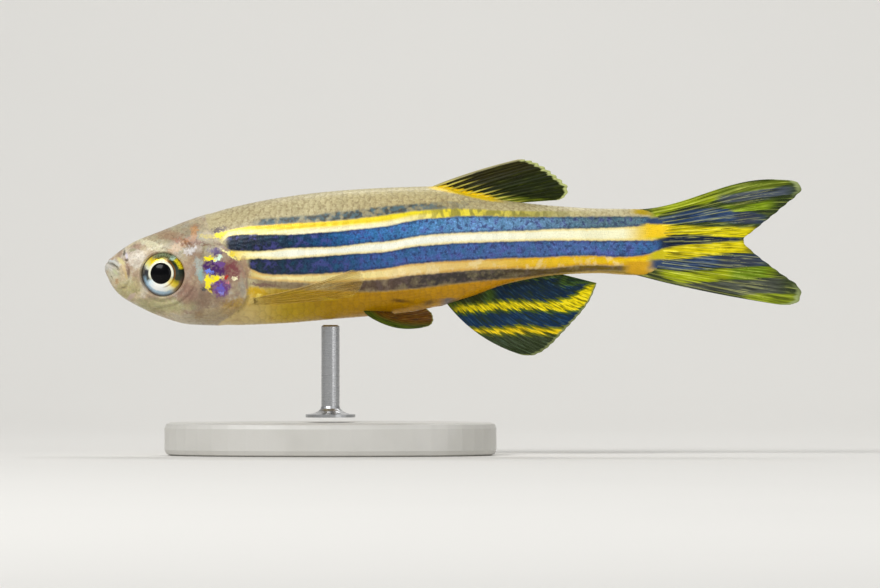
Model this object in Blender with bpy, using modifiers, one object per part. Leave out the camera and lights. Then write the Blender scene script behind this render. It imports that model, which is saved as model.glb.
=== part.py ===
"""Zebra danio, life size, swimming level on a plain display stand.

The side view is set out in millimetres: x runs back from the snout tip and z up from the level of the snout tip.
The finished objects are in metres. The fish looks towards -X, +Z is up, and the origin lies on the floor under the
middle of the fish.
"""

import math

import bmesh
import bpy
import numpy as np
from mathutils import Matrix, Vector

MM = 0.001
TOTAL_LENGTH = 42.0
SNOUT_HEIGHT = 11.3
GAP = 0.3

# Body: distance behind the snout tip, height of the back, height of the belly, half width.
BODY_SECTIONS = (
    (0.00, 0.00, 0.00, 0.00),
    (0.15, 0.34, -0.50, 0.42),
    (0.42, 0.62, -1.04, 0.72),
    (0.90, 1.02, -1.62, 1.02),
    (1.87, 1.63, -2.23, 1.40),
    (3.31, 2.20, -2.89, 1.72),
    (5.24, 2.95, -3.41, 2.00),
    (7.65, 3.68, -3.48, 2.24),
    (10.5, 4.26, -3.38, 2.40),
    (14.2, 4.70, -3.08, 2.44),
    (17.8, 4.90, -2.77, 2.28),
    (19.8, 4.95, -2.40, 2.12),
    (22.0, 4.48, -1.78, 1.86),
    (24.4, 4.06, -0.95, 1.52),
    (27.4, 3.76, -0.45, 1.12),
    (29.8, 3.62, -0.36, 0.86),
    (31.5, 3.60, -0.48, 0.68),
    (32.7, 3.66, -0.60, 0.52),
)
FLESH_LENGTH = BODY_SECTIONS[-1][0]
SECTION_POWER = 2.2
BODY_RINGS = 62
BODY_SIDES = 40

# Head: cut lines in the side view, from above or in front to below.
MOUTH_CORNER = (0.99, -0.66)
JAW_LINE = (
    (-0.60, 0.42),
    (0.06, 0.21),
    (0.48, -0.12),
    MOUTH_CORNER,
    (1.75, -1.38),
    (2.45, -2.00),
    (2.95, -2.70),
    (3.20, -4.20),
)
HEAD_BACK_LINE = (
    (5.60, 6.00),
    (5.95, 3.60),
    (6.57, 1.93),
    (7.45, 1.15),
    (8.15, 0.35),
    (8.60, -0.54),
    (8.70, -1.33),
    (8.44, -2.11),
    (7.71, -2.83),
    (6.80, -3.50),
    (6.50, -5.00),
)
TAIL_STEM_LINE = ((28.2, 7.0), (28.2, -5.0))
COVER_FRONT_LINE = (
    (7.20, 1.62),
    (6.40, 1.52),
    (5.85, 1.00),
    (5.58, 0.20),
    (5.52, -0.80),
    (5.68, -1.60),
    (6.20, -2.22),
    (7.00, -2.45),
)
COVER_INNER_HALF_WIDTH = 1.15
COVER_RISE = 0.10
LIP_RISE = 0.11
LIP_WIDTH = 0.28
LIP_LENGTH = 1.30

EYE_CENTRE = (3.53, -0.39)
EYE_RADIUS = 1.30
EYE_HALF_DEPTH = 0.80
EYE_BULGE = 0.42
NOSTRIL = (1.42, 0.66)
NOSTRIL_RADIUS = 0.16

# Fins: thickness of the membrane, its edge, its root, and how much a ray adds.
FIN_THICKNESS = 0.50
FIN_EDGE = 0.28
RAY_RISE = 0.22

# Each fin: first and last root places along the body, and its free edge from the first ray's tip to the last one's.
DORSAL_ROOT = (20.20, 24.40)
DORSAL_EDGE = (
    (25.05, 6.57),
    (25.75, 6.50),
    (26.42, 6.18),
    (27.05, 5.64),
    (27.62, 5.14),
    (27.98, 4.74),
    (27.48, 4.12),
)
ANAL_ROOT = (20.75, 27.15)
ANAL_EDGE = (
    (25.49, -5.32),
    (26.27, -4.88),
    (27.36, -3.80),
    (28.44, -2.86),
    (29.20, -1.75),
    (29.65, -1.00),
)
TAIL_UPPER_EDGE = (
    (41.70, 5.10),
    (42.00, 4.82),
    (41.64, 4.31),
    (40.80, 3.72),
    (39.95, 2.95),
    (39.20, 2.32),
    (38.45, 1.76),
)
TAIL_LOWER_EDGE = (
    (41.66, -2.14),
    (41.96, -1.80),
    (41.66, -0.95),
    (40.80, -0.42),
    (39.95, 0.27),
    (39.20, 0.86),
    (38.45, 1.42),
)
TAIL_FORK_HEIGHT = 1.59
PECTORAL_ROOT = ((8.98, -1.66), (9.02, -2.16))
PECTORAL_EDGE = ((15.45, -0.22), (15.62, -0.62), (15.42, -1.20), (14.88, -1.74))
PECTORAL_SPLAY = 0.75
PECTORAL_BOW = 0.04
PELVIC_ROOT = ((15.45, 1.62), (15.70, 0.85))
PELVIC_EDGE = (
    (18.40, 2.05, -3.24),
    (19.20, 1.88, -3.30),
    (19.78, 1.52, -3.18),
    (19.50, 1.12, -2.98),
)
PELVIC_BOW = 0.10

# The paired fins leave the skin squarely and bend back: share of their length that the bend takes, and its height.
ROOT_BEND = 0.12
PECTORAL_LIFT = 0.42
PELVIC_LIFT = 0.28

ROD_PLACE = 13.6
ROD_RADIUS = 0.55
ROD_FOOT_RADIUS = 1.50
ROD_FOOT_RIM = 0.18
ROD_FOOT_HEIGHT = 0.50
BASE_LENGTH = 20.0
BASE_WIDTH = 11.0
BASE_THICKNESS = 2.0
BASE_BEVEL = 0.35


def clear_scene():
    for obj in list(bpy.data.objects):
        bpy.data.objects.remove(obj, do_unlink=True)


def new_collection(name):
    collection = bpy.data.collections.new(name)
    bpy.context.scene.collection.children.link(collection)
    return collection


def new_material(name, colour, roughness, metallic=0.0):
    material = bpy.data.materials.new(name)
    material.use_nodes = True
    shader = material.node_tree.nodes["Principled BSDF"]
    shader.inputs["Base Color"].default_value = (*colour, 1.0)
    shader.inputs["Roughness"].default_value = roughness
    shader.inputs["Metallic"].default_value = metallic
    return material


def new_object(name, bm, collection, material=None):
    mesh = bpy.data.meshes.new(name)
    bm.to_mesh(mesh)
    bm.free()
    obj = bpy.data.objects.new(name, mesh)
    collection.objects.link(obj)
    if material:
        mesh.materials.append(material)
        mesh.shade_smooth()
        mesh.set_sharp_from_angle(angle=math.radians(40))
    return obj


def placed(x, y, z):
    """A point of the side view, and its distance to the side, as metres in the finished frame."""
    return Vector(((x - TOTAL_LENGTH / 2) * MM, y * MM, (z + SNOUT_HEIGHT) * MM))


def eased(places, values, x):
    """Value at x of the smooth curve through the values, with no overshoot between them."""
    step = np.diff(places)
    rise = np.diff(values) / step
    slope = np.zeros(len(places))
    slope[0], slope[-1] = rise[0], rise[-1]
    same_way = rise[:-1] * rise[1:] > 0
    total = np.where(same_way, rise[:-1] + rise[1:], 1.0)
    slope[1:-1] = np.where(same_way, 2 * rise[:-1] * rise[1:] / total, 0.0)
    i = int(np.clip(np.searchsorted(places, x) - 1, 0, len(step) - 1))
    t = (x - places[i]) / step[i]
    a = (1 + 2 * t) * (1 - t) ** 2 * values[i] + t * (1 - t) ** 2 * step[i] * slope[i]
    b = t**2 * (3 - 2 * t) * values[i + 1] + t**2 * (t - 1) * step[i] * slope[i + 1]
    return float(a + b)


def along(points, t):
    """Point at the share t of the length of a smooth line through the points."""
    points = np.array(points, float)
    run = np.concatenate(([0.0], np.cumsum(np.linalg.norm(np.diff(points, axis=0), axis=1))))
    return [eased(run / run[-1], points[:, k], t) for k in range(points.shape[1])]


SECTIONS = np.array(BODY_SECTIONS)
SECTION_ROOTS = np.sqrt(SECTIONS[:, 0])


def section(x):
    """Back, belly and half width at x. The square root of x keeps the snout round."""
    root = math.sqrt(max(x, 0.0))
    return [eased(SECTION_ROOTS, SECTIONS[:, k], root) for k in (1, 2, 3)]


def smooth_line(points, count):
    """The smooth line through the points, as that many points."""
    return [tuple(along(points, i / (count - 1))) for i in range(count)]


def back(x):
    return section(x)[0]


def belly(x):
    return section(x)[1]


def flank(x, z):
    """Distance from the middle plane to the skin at a point of the side view."""
    top, bottom, half_width = section(x)
    share = abs(2 * z - top - bottom) / (top - bottom)
    return half_width * max(1 - share**SECTION_POWER, 0.0) ** (1 / SECTION_POWER)


def underside(x, y):
    """Height of the skin of the belly at a distance y from the middle plane."""
    top, bottom, half_width = section(x)
    share = min(y / half_width, 1.0)
    return (top + bottom) / 2 - (top - bottom) / 2 * (1 - share**SECTION_POWER) ** (1 / SECTION_POWER)


def distance_to_line(line, x, z):
    """Shortest distance from a point of the side view to an open line."""
    p = np.array((x, z))
    a, b = np.array(line[:-1], float), np.array(line[1:], float)
    share = np.clip(((p - a) * (b - a)).sum(1) / ((b - a) ** 2).sum(1), 0, 1)
    return float(np.linalg.norm(a + share[:, None] * (b - a) - p, axis=1).min())


def relief(x, z):
    """How far the lips and the gill cover stand out of the plain body at a point of the side view."""
    lip_distance = distance_to_line(JAW_LINE[:4], x, z) - GAP / 2
    fade = max(0.0, 1 - (x / LIP_LENGTH) ** 4)
    lips = LIP_RISE * fade * math.exp(-(((lip_distance - LIP_WIDTH / 2) / LIP_WIDTH) ** 2))
    rear = eased(*zip(*[(-p[1], p[0]) for p in HEAD_BACK_LINE[2:9]]), -np.clip(z, -2.8, 1.9))
    inside = np.clip((x - 4.6) / (rear - 4.6), 0, 1) if x <= rear + GAP / 2 else 0.0
    level = math.exp(-(((z + 0.5) / 2.2) ** 4))
    return lips + COVER_RISE * level * inside**2


def body_point(x, angle, raised=True):
    """Point of the skin at x, with the angle measured from the back round to the belly."""
    top, bottom, half_width = section(x)
    middle, half_depth = (top + bottom) / 2, (top - bottom) / 2
    power = 2 / SECTION_POWER
    c, s = math.cos(angle), math.sin(angle)
    z = middle + half_depth * math.copysign(abs(c) ** power, c)
    y = half_width * math.copysign(abs(s) ** power, s)
    rise = relief(x, z) if raised else 0.0
    return placed(x, y + rise * s, z + rise * c)


def body_mesh(raised):
    """The whole body as one closed surface. A sphere's rings become its sections, closest at the snout."""
    bm = bmesh.new()
    bmesh.ops.create_uvsphere(bm, u_segments=BODY_SIDES, v_segments=BODY_RINGS, radius=1.0)
    for v in bm.verts:
        share = math.acos(max(-1.0, min(1.0, v.co.z))) / math.pi
        if share < 1e-4:
            v.co = placed(0.0, 0.0, 0.0)
        elif share > 1 - 1e-4:
            v.co = placed(FLESH_LENGTH, 0.0, (back(FLESH_LENGTH) + belly(FLESH_LENGTH)) / 2)
        else:
            ring = share * BODY_RINGS / (BODY_RINGS - 1)
            x = FLESH_LENGTH * min(ring, 1.0) ** 1.7
            v.co = body_point(x, math.atan2(v.co.y, v.co.x), raised)
    bmesh.ops.recalc_face_normals(bm, faces=bm.faces)
    return bm


def shifted(line, distance):
    """The line moved to its left as it is followed, which is up or back here."""
    points = [Vector(p) for p in line]
    moved = []
    for i, p in enumerate(points):
        run = (points[min(i + 1, len(points) - 1)] - points[max(i - 1, 0)]).normalized()
        moved.append(p + distance * Vector((-run.y, run.x)))
    return moved


def side_block(name, outline, near, far, cutters):
    """A cutter: an outline of the side view, drawn out sideways from near to far."""
    bm = bmesh.new()
    face = bm.faces.new([bm.verts.new(placed(x, near, z)) for x, z in outline])
    drawn = bmesh.ops.extrude_face_region(bm, geom=[face])
    verts = [g for g in drawn["geom"] if isinstance(g, bmesh.types.BMVert)]
    bmesh.ops.translate(bm, vec=(0, (far - near) * MM, 0), verts=verts)
    bmesh.ops.recalc_face_normals(bm, faces=bm.faces)
    return as_cutter(new_object(name, bm, cutters))


def as_cutter(obj):
    obj.hide_render = True
    obj.display_type = "WIRE"
    return obj


def ball(name, centre, radii, collection, material=None, sides=24, rings=12):
    """An ellipsoid with its poles along Y, so that an eye's rings face sideways."""
    bm = bmesh.new()
    bmesh.ops.create_uvsphere(bm, u_segments=sides, v_segments=rings, radius=MM)
    bmesh.ops.rotate(bm, cent=(0, 0, 0), matrix=Matrix.Rotation(math.pi / 2, 3, "X"), verts=bm.verts)
    bmesh.ops.scale(bm, vec=radii, verts=bm.verts)
    obj = new_object(name, bm, collection, material)
    obj.location = centre
    return obj


def eye_place(sign):
    """Middle of an eye, set so deep that it stands out of the plain body by its bulge."""
    return placed(EYE_CENTRE[0], sign * (flank(*EYE_CENTRE) + EYE_BULGE - EYE_HALF_DEPTH), EYE_CENTRE[1])


def cut(obj, operation, cutter):
    modifier = obj.modifiers.new(cutter.name, "BOOLEAN")
    modifier.operation = operation
    modifier.object = cutter
    modifier.solver = "EXACT"


def make_flesh(collection, cutters, skin):
    """Head, jaw, gill covers, trunk and tail stem, parted from one body by thin cuts."""
    jaw_corner = [(-6.0, -4.2), (-6.0, 0.42)]
    front_corners = [(-6.0, -6.0), (-6.0, 6.0)]
    wide = 12.0

    def both(name, line, corners):
        """The same block twice: up to the line, and up to the far side of the gap."""
        return [
            side_block(f"{name}_{label}", shifted(line, distance) + corners, -wide, wide, cutters)
            for label, distance in (("block", 0.0), ("clearance", GAP))
        ]

    jaw_block, jaw_clearance = both("jaw", smooth_line(JAW_LINE, 18), jaw_corner)
    head_block, head_clearance = both("head", smooth_line(HEAD_BACK_LINE, 26), front_corners)
    trunk_block, trunk_clearance = both("trunk", TAIL_STEM_LINE, front_corners)

    def piece(name, raised=True):
        return new_object(name, body_mesh(raised), collection, skin)

    jaw = piece("lower_jaw")
    cut(jaw, "INTERSECT", jaw_block)
    head = piece("head")
    cut(head, "INTERSECT", head_block)
    cut(head, "DIFFERENCE", jaw_clearance)
    trunk = piece("trunk", raised=False)
    cut(trunk, "DIFFERENCE", head_clearance)
    cut(trunk, "INTERSECT", trunk_block)
    stem = piece("tail_stem", raised=False)
    cut(stem, "DIFFERENCE", trunk_clearance)

    cover_line = smooth_line(COVER_FRONT_LINE, 18)
    behind = 10.0
    for side, sign in (("left", -1), ("right", 1)):
        near, far = sign * COVER_INNER_HALF_WIDTH, sign * wide
        outline = cover_line + [(behind, cover_line[-1][1]), (behind, cover_line[0][1])]
        cover_block = side_block(f"cover_block_{side}", outline, near, far, cutters)
        grown = shifted(cover_line, -GAP)
        grown += [Vector((behind, grown[-1].y)), Vector((behind, grown[0].y))]
        clearance = side_block(f"cover_clearance_{side}", grown, near - sign * GAP, far, cutters)
        cut(head, "DIFFERENCE", clearance)
        cover = piece(f"gill_cover_{side}")
        cut(cover, "INTERSECT", head_block)
        cut(cover, "INTERSECT", cover_block)

        radii = (EYE_RADIUS + GAP, EYE_HALF_DEPTH + GAP, EYE_RADIUS + GAP)
        cut(head, "DIFFERENCE", as_cutter(ball(f"socket_{side}", eye_place(sign), radii, cutters)))
        nostril_place = placed(NOSTRIL[0], sign * flank(*NOSTRIL), NOSTRIL[1])
        pit = ball(f"nostril_{side}", nostril_place, (NOSTRIL_RADIUS,) * 3, cutters, sides=10, rings=6)
        cut(head, "DIFFERENCE", as_cutter(pit))


def make_eyes(collection, material):
    for side, sign in (("left", -1), ("right", 1)):
        radii = (EYE_RADIUS, EYE_HALF_DEPTH, EYE_RADIUS)
        ball(f"eye_{side}", eye_place(sign), radii, collection, material)


def fin_sheet(name, point, rays, rows, root_thickness, collection, material):
    """A fin as an open sheet with a row of points for each ray and each web between two rays.

    point(s, t) gives the place at the share s from root to edge and t from the first ray to the last. Solidify gives
    the sheet its thickness, which is more along the rays and less at the edge.
    """
    bm = bmesh.new()
    columns = 2 * (rays - 1)
    bmesh.ops.create_grid(bm, x_segments=columns, y_segments=rows, size=0.5)
    bmesh.ops.triangulate(bm, faces=bm.faces)
    thickest = max(root_thickness, FIN_THICKNESS) + RAY_RISE
    weights = []
    for v in bm.verts:
        t, s = v.co.x + 0.5, v.co.y + 0.5
        on_ray = round(t * columns) % 2 == 0
        body = FIN_THICKNESS + (root_thickness - FIN_THICKNESS) * max(0.0, 1 - s / 0.25)
        body += (FIN_EDGE - FIN_THICKNESS) * max(0.0, (s - 0.7) / 0.3)
        ray = RAY_RISE * (1 - 0.6 * s) * min(1.0, s / 0.08) if on_ray else 0.0
        weights.append((body + ray) / thickest)
        v.co = point(s, t)
    obj = new_object(name, bm, collection, material)
    group = obj.vertex_groups.new(name="thickness")
    for i, weight in enumerate(weights):
        group.add([i], weight, "REPLACE")
    shell = obj.modifiers.new("shell", "SOLIDIFY")
    shell.thickness = thickest * MM
    shell.offset = 0.0
    shell.vertex_group = group.name
    return obj


def flat_fin(name, root, edge, bow, **sizes):
    """A fin in the middle plane. root(t) is a point of the side view, and bow lifts the first rays' middles."""

    def point(s, t):
        start, end = Vector(root(t)), Vector(along(edge, t))
        run = end - start
        outward = Vector((-run.y, run.x)).normalized()
        p = start.lerp(end, s) + outward * bow * (1 - t) * 4 * s * (1 - s)
        return placed(p.x, 0.0, p.y)

    return fin_sheet(name, point, **sizes)


def make_median_fins(collection, material):
    """Dorsal and anal fin on the back and belly, and the two lobes of the tail fin behind the flesh."""
    look = {"collection": collection, "material": material}

    def dorsal_root(t):
        x = DORSAL_ROOT[0] + (DORSAL_ROOT[1] - DORSAL_ROOT[0]) * t
        return x, back(x) + GAP

    def anal_root(t):
        x = ANAL_ROOT[0] + (ANAL_ROOT[1] - ANAL_ROOT[0]) * t
        return x, belly(x) - GAP

    tail_x = FLESH_LENGTH + GAP
    top, bottom = back(FLESH_LENGTH), belly(FLESH_LENGTH)

    def upper_root(t):
        return tail_x, top + (TAIL_FORK_HEIGHT + GAP / 2 - top) * t

    def lower_root(t):
        return tail_x, bottom + (TAIL_FORK_HEIGHT - GAP / 2 - bottom) * t

    middle = {"rows": 9, "root_thickness": 0.6, **look}
    flat_fin("dorsal_fin", dorsal_root, DORSAL_EDGE, bow=0.0, rays=9, **middle)
    flat_fin("anal_fin", anal_root, ANAL_EDGE, bow=-0.38, rays=14, **middle)
    tail = {"rows": 10, "rays": 10, "root_thickness": 0.8, **look}
    flat_fin("tail_fin_upper", upper_root, TAIL_UPPER_EDGE, bow=0.42, **tail)
    flat_fin("tail_fin_lower", lower_root, TAIL_LOWER_EDGE, bow=-0.22, **tail)


def make_paired_fins(collection, material):
    """Pectoral fins along the flanks behind the gill covers, and pelvic fins under the belly."""

    def root_offset(s, lift):
        """How far the sheet has left the skin: straight out at its root, then round a bend to run back."""
        turn = min(s / ROOT_BEND, 1.0)
        return GAP + lift * math.sqrt(1 - (1 - turn) ** 2)

    for side, sign in (("left", -1), ("right", 1)):

        def pectoral_point(s, t):
            start, end = Vector(along(PECTORAL_ROOT, t)), Vector(along(PECTORAL_EDGE, t))
            p = start.lerp(end, s)
            p.y += PECTORAL_BOW * (1 - t) * 4 * s * (1 - s)
            out = flank(p.x, p.y) + root_offset(s, PECTORAL_LIFT) + PECTORAL_SPLAY * s
            return placed(p.x, sign * out, p.y)

        def pelvic_point(s, t):
            x, y = along(PELVIC_ROOT, t)
            start, end = Vector((x, y, underside(x, y))), Vector(along(PELVIC_EDGE, t))
            slope = (underside(x, y + 0.05) - underside(x, y)) / 0.05
            out = Vector((0.0, slope, -1.0)).normalized()
            p = start.lerp(end, s) + out * root_offset(s, PELVIC_LIFT) * (1 - s)
            p.z -= PELVIC_BOW * (1 - t) * 4 * s * (1 - s)
            return placed(p.x, sign * p.y, p.z)

        sizes = {"collection": collection, "material": material, "root_thickness": FIN_THICKNESS}
        fin_sheet(f"pectoral_fin_{side}", pectoral_point, rays=11, rows=10, **sizes)
        fin_sheet(f"pelvic_fin_{side}", pelvic_point, rays=8, rows=8, **sizes)


def make_stand(collection, base_material, rod_material):
    """An oval base, and a turned rod with a spread foot that carries the fish under its belly."""
    bm = bmesh.new()
    bmesh.ops.create_cone(bm, cap_ends=True, segments=48, radius1=0.5 * MM, radius2=0.5 * MM, depth=MM)
    bmesh.ops.scale(bm, vec=(BASE_LENGTH, BASE_WIDTH, BASE_THICKNESS), verts=bm.verts)
    base = new_object("stand_base", bm, collection, base_material)
    place = (ROD_PLACE - TOTAL_LENGTH / 2) * MM
    base.location = (place, 0, BASE_THICKNESS / 2 * MM)
    bevel = base.modifiers.new("bevel", "BEVEL")
    bevel.width = BASE_BEVEL * MM
    bevel.segments = 2

    foot, top = BASE_THICKNESS + GAP, SNOUT_HEIGHT + belly(ROD_PLACE) - GAP
    spread = ROD_FOOT_RADIUS - ROD_RADIUS
    flare = [
        (ROD_RADIUS + spread * (1 - math.sin(a)), foot + ROD_FOOT_RIM + ROD_FOOT_HEIGHT * (1 - math.cos(a)))
        for a in np.linspace(0, math.pi / 2, 6)
    ]
    profile = [(0.0, top), (ROD_RADIUS - 0.1, top), (ROD_RADIUS, top - 0.1), *reversed(flare)]
    profile += [(ROD_FOOT_RADIUS, foot), (0.0, foot)]
    bm = bmesh.new()
    verts = [bm.verts.new((r * MM, 0, z * MM)) for r, z in profile]
    for a, b in zip(verts, verts[1:]):
        bm.edges.new((a, b))
    rod = new_object("stand_rod", bm, collection, rod_material)
    rod.location.x = place
    turn = rod.modifiers.new("turn", "SCREW")
    turn.steps = turn.render_steps = 28
    turn.use_merge_vertices = True
    turn.merge_threshold = 0.00001
    turn.use_smooth_shade = True


def main():
    clear_scene()
    fish = new_collection("zebra_danio")
    cutters = new_collection("cutters")
    skin = new_material("skin", (0.55, 0.47, 0.30), 0.35)
    fin = new_material("fin", (0.42, 0.40, 0.10), 0.30)
    eye = new_material("eye", (0.85, 0.75, 0.35), 0.08)
    base = new_material("stand_base", (0.62, 0.61, 0.58), 0.50)
    rod = new_material("stand_rod", (0.60, 0.60, 0.60), 0.30, 1.0)
    make_flesh(fish, cutters, skin)
    make_eyes(fish, eye)
    make_median_fins(fish, fin)
    make_paired_fins(fish, fin)
    make_stand(fish, base, rod)


main()
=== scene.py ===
"""Zebra danio, life size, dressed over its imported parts: skin, overlapping scales, eyes and rayed fins.

The side view is set out in millimetres: x runs back from the snout tip, z up from its level, and y is the
distance to the side. The finished meshes are in metres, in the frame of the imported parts.
"""

import math

import bmesh
import bpy
import numpy as np
from bpy.props import FloatProperty, FloatVectorProperty, IntProperty, PointerProperty
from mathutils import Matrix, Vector


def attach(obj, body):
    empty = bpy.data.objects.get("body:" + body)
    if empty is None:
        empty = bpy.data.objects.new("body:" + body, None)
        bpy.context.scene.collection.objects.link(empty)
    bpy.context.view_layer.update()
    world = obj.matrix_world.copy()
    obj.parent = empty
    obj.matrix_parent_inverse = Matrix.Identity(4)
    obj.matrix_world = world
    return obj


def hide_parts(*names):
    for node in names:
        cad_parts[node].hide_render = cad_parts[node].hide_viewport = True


bl_info = {
    "name": "Zebra Danio",
    "version": (1, 0, 0),
    "blender": (4, 5, 0),
    "location": "View3D > Sidebar > Zebra Danio",
    "description": "Builds the skin, scales, eyes and fins of a life-size zebra danio on its stand",
    "category": "Object",
}

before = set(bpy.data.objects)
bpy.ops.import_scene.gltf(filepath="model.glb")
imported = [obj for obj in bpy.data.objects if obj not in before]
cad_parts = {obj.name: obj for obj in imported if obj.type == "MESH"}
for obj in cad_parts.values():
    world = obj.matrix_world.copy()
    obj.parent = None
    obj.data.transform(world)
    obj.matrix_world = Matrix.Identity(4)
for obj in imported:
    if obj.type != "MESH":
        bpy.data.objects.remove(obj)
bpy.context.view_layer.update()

MM = 0.001
SAME_PLACE = 1e-7
TOTAL_LENGTH = 42.0
SNOUT_HEIGHT = 11.3
BODY = "root"
SIDES = (("left", -1), ("right", 1))

# Body: distance behind the snout tip, height of the back, height of the belly, half width.
BODY_SECTIONS = np.array(
    (
        (0.00, 0.00, 0.00, 0.00),
        (0.15, 0.34, -0.50, 0.42),
        (0.42, 0.62, -1.04, 0.72),
        (0.90, 1.02, -1.62, 1.02),
        (1.87, 1.63, -2.23, 1.40),
        (3.31, 2.20, -2.89, 1.72),
        (5.24, 2.95, -3.41, 2.00),
        (7.65, 3.68, -3.48, 2.24),
        (10.5, 4.26, -3.38, 2.40),
        (14.2, 4.70, -3.08, 2.44),
        (17.8, 4.90, -2.77, 2.28),
        (19.8, 4.95, -2.40, 2.12),
        (22.0, 4.48, -1.78, 1.86),
        (24.4, 4.06, -0.95, 1.52),
        (27.4, 3.76, -0.45, 1.12),
        (29.8, 3.62, -0.36, 0.86),
        (31.4, 3.60, -0.46, 0.66),
        (32.3, 3.58, -0.48, 0.42),
        (33.1, 3.34, -0.24, 0.22),
        (33.7, 2.92, 0.18, 0.11),
        (34.1, 2.40, 0.75, 0.05),
        (34.3, 1.90, 1.35, 0.02),
    )
)
BODY_END = BODY_SECTIONS[-1, 0]
SECTION_POWER = 2.2

# Rings of the skin: their share on the head, where that part ends, and how they crowd towards the snout.
HEAD_SHARE = 0.55
HEAD_END = 9.0
HEAD_CROWDING = 1.6

# Scales: where their rows start and end, how wide each is for its row, and, as shares of the skin's map,
# how far each may stray, how large its baked patch is, and where the map stops. Thin coats bear no scales.
SCALES_START, SCALES_END = 5.6, 33.5
SCALE_WIDTH = 0.62
SCALE_STRAY = (0.0009, 0.0008)
PATCH_HALF = 0.0015
MAP_END = 0.9995
THIN_COAT = 0.06

# Lines of the head in the side view.
MOUTH_LINE = ((-0.10, 0.38), (0.10, 0.35), (0.28, 0.29), (0.54, 0.18), (0.76, 0.03), (0.90, -0.15))
LIP_FOLD = ((0.10, 0.02), (0.34, -0.02), (0.54, -0.12), (0.78, -0.32), (0.89, -0.55), (0.86, -0.82))
UPPER_JAW_LINE = ((0.92, 0.30), (1.20, -0.02), (1.33, -0.36), (1.34, -0.70), (1.18, -1.02))
CHEEK_LINE = (
    (4.95, 1.55), (5.45, 0.90), (5.62, 0.00), (5.52, -0.95), (5.00, -1.75), (4.10, -2.30), (2.90, -2.48),
)
COVER_EDGE = (
    (5.60, 6.00), (5.95, 3.60), (6.57, 1.93), (7.45, 1.15), (8.15, 0.35), (8.60, -0.54), (8.70, -1.33),
    (8.44, -2.11), (7.71, -2.83), (6.80, -3.50), (6.50, -5.00),
)
COVER_FOLD = ((6.10, 1.20), (6.05, 0.20), (6.20, -1.20), (6.90, -2.10), (7.90, -2.35))
NOSTRILS = ((1.22, 0.87, 0.09), (1.35, 0.45, 0.08))
NOSTRIL_FLAP = (1.34, 0.67)
THROAT_FOLDS = (0.10, 0.36, 0.62)

EYE_CENTRE = (3.52, -0.39)
EYE_RADIUS = 1.31
EYE_HALF_DEPTH = 0.80
EYE_BULGE = 0.42
EYE_TILT = math.radians(7)
PUPIL_OFFSET = (-0.09, 0.06)

# Fins: where the root starts and ends along the body, and the free edge from the first ray's tip to the
# last ray's.
DORSAL_ROOT = (19.45, 24.50)
DORSAL_BOW = 0.12
DORSAL_EDGE = (
    (25.05, 6.57), (25.70, 6.46), (26.40, 6.14), (27.02, 5.70), (27.62, 5.21), (27.94, 4.82), (27.86, 4.42),
    (27.45, 4.12),
)
ANAL_ROOT = (20.55, 27.25)
ANAL_BOW = -0.46
ANAL_EDGE = (
    (25.20, -5.25), (25.72, -5.27), (26.28, -5.08), (26.85, -4.66), (27.42, -4.08), (28.05, -3.40),
    (28.75, -2.62), (29.30, -1.80), (29.65, -0.92),
)
TAIL_EDGE = (
    (40.70, 5.29), (41.35, 5.27), (41.62, 5.21), (41.85, 5.10), (41.98, 4.95), (42.00, 4.78), (41.92, 4.57),
    (41.74, 4.39), (41.42, 4.12), (41.00, 3.79), (40.35, 3.24), (39.95, 2.93), (39.20, 2.32), (38.50, 1.66),
    (39.20, 0.86), (39.95, 0.27), (40.74, -0.32), (41.28, -0.69), (41.71, -0.99), (41.92, -1.28),
    (42.00, -1.57), (41.93, -1.87), (41.72, -2.09), (41.36, -2.21), (40.85, -2.22),
)
TAIL_ROOT_X = 32.0
PECTORAL_ROOT = ((8.75, -1.84), (8.82, -2.20))
PECTORAL_EDGE = ((14.95, -0.10), (15.45, -0.26), (15.65, -0.66), (15.45, -1.24), (14.90, -1.74))
PECTORAL_SPLAY = 0.55
PELVIC_ROOT = ((15.50, 1.25), (17.20, 0.75))
PELVIC_EDGE = (
    (19.10, 1.76, -3.58), (19.60, 1.70, -3.44), (19.80, 1.48, -3.12), (19.72, 1.22, -2.76),
    (19.40, 1.00, -2.46),
)
PELVIC_BOW = 0.44
ROOT_SINK = 0.14
ROOT_BEND = 0.16
ROOT_DEPTH = 0.30
PECTORAL_LIFT = 0.34
PELVIC_LIFT = 0.12

# Edges of the stripes, from the back down, as knots of x and z.
BROKEN_LINE_TOP = (
    (7.0, 2.50), (9.3, 2.93), (11.2, 3.06), (12.6, 3.16), (13.9, 3.35), (16.5, 3.64), (19.8, 3.92),
    (22.0, 4.06),
)
GOLD_TOP = (
    (6.4, 2.05), (7.4, 2.22), (8.6, 2.47), (9.9, 2.58), (11.2, 2.67), (12.6, 2.74), (13.9, 2.83),
    (15.2, 2.96), (16.5, 3.11), (17.9, 3.31), (19.2, 3.46), (21.2, 3.55), (23.9, 3.46), (25.3, 3.42),
    (32.7, 3.50),
)
UPPER_BLUE_TOP = (
    (7.1, 1.44), (7.3, 1.74), (7.6, 1.94), (8.5, 2.02), (9.9, 2.01), (11.2, 2.01), (12.7, 2.11),
    (13.9, 2.19), (15.2, 2.32), (16.5, 2.45), (17.2, 2.55), (18.1, 2.75), (19.0, 2.92), (20.2, 3.01),
    (21.4, 3.11), (25.3, 3.07), (31.6, 3.10), (34.0, 3.06),
)
CREAM_TOP = (
    (7.1, 1.38), (7.3, 1.18), (7.7, 1.06), (8.5, 1.01), (9.9, 1.04), (11.2, 1.17), (12.7, 1.21),
    (14.2, 1.29), (15.4, 1.45), (17.2, 1.61), (18.1, 1.77), (19.0, 1.92), (20.2, 2.03), (23.8, 2.20),
    (25.4, 2.24), (26.8, 2.33), (30.4, 2.41), (33.0, 2.57),
)
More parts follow.
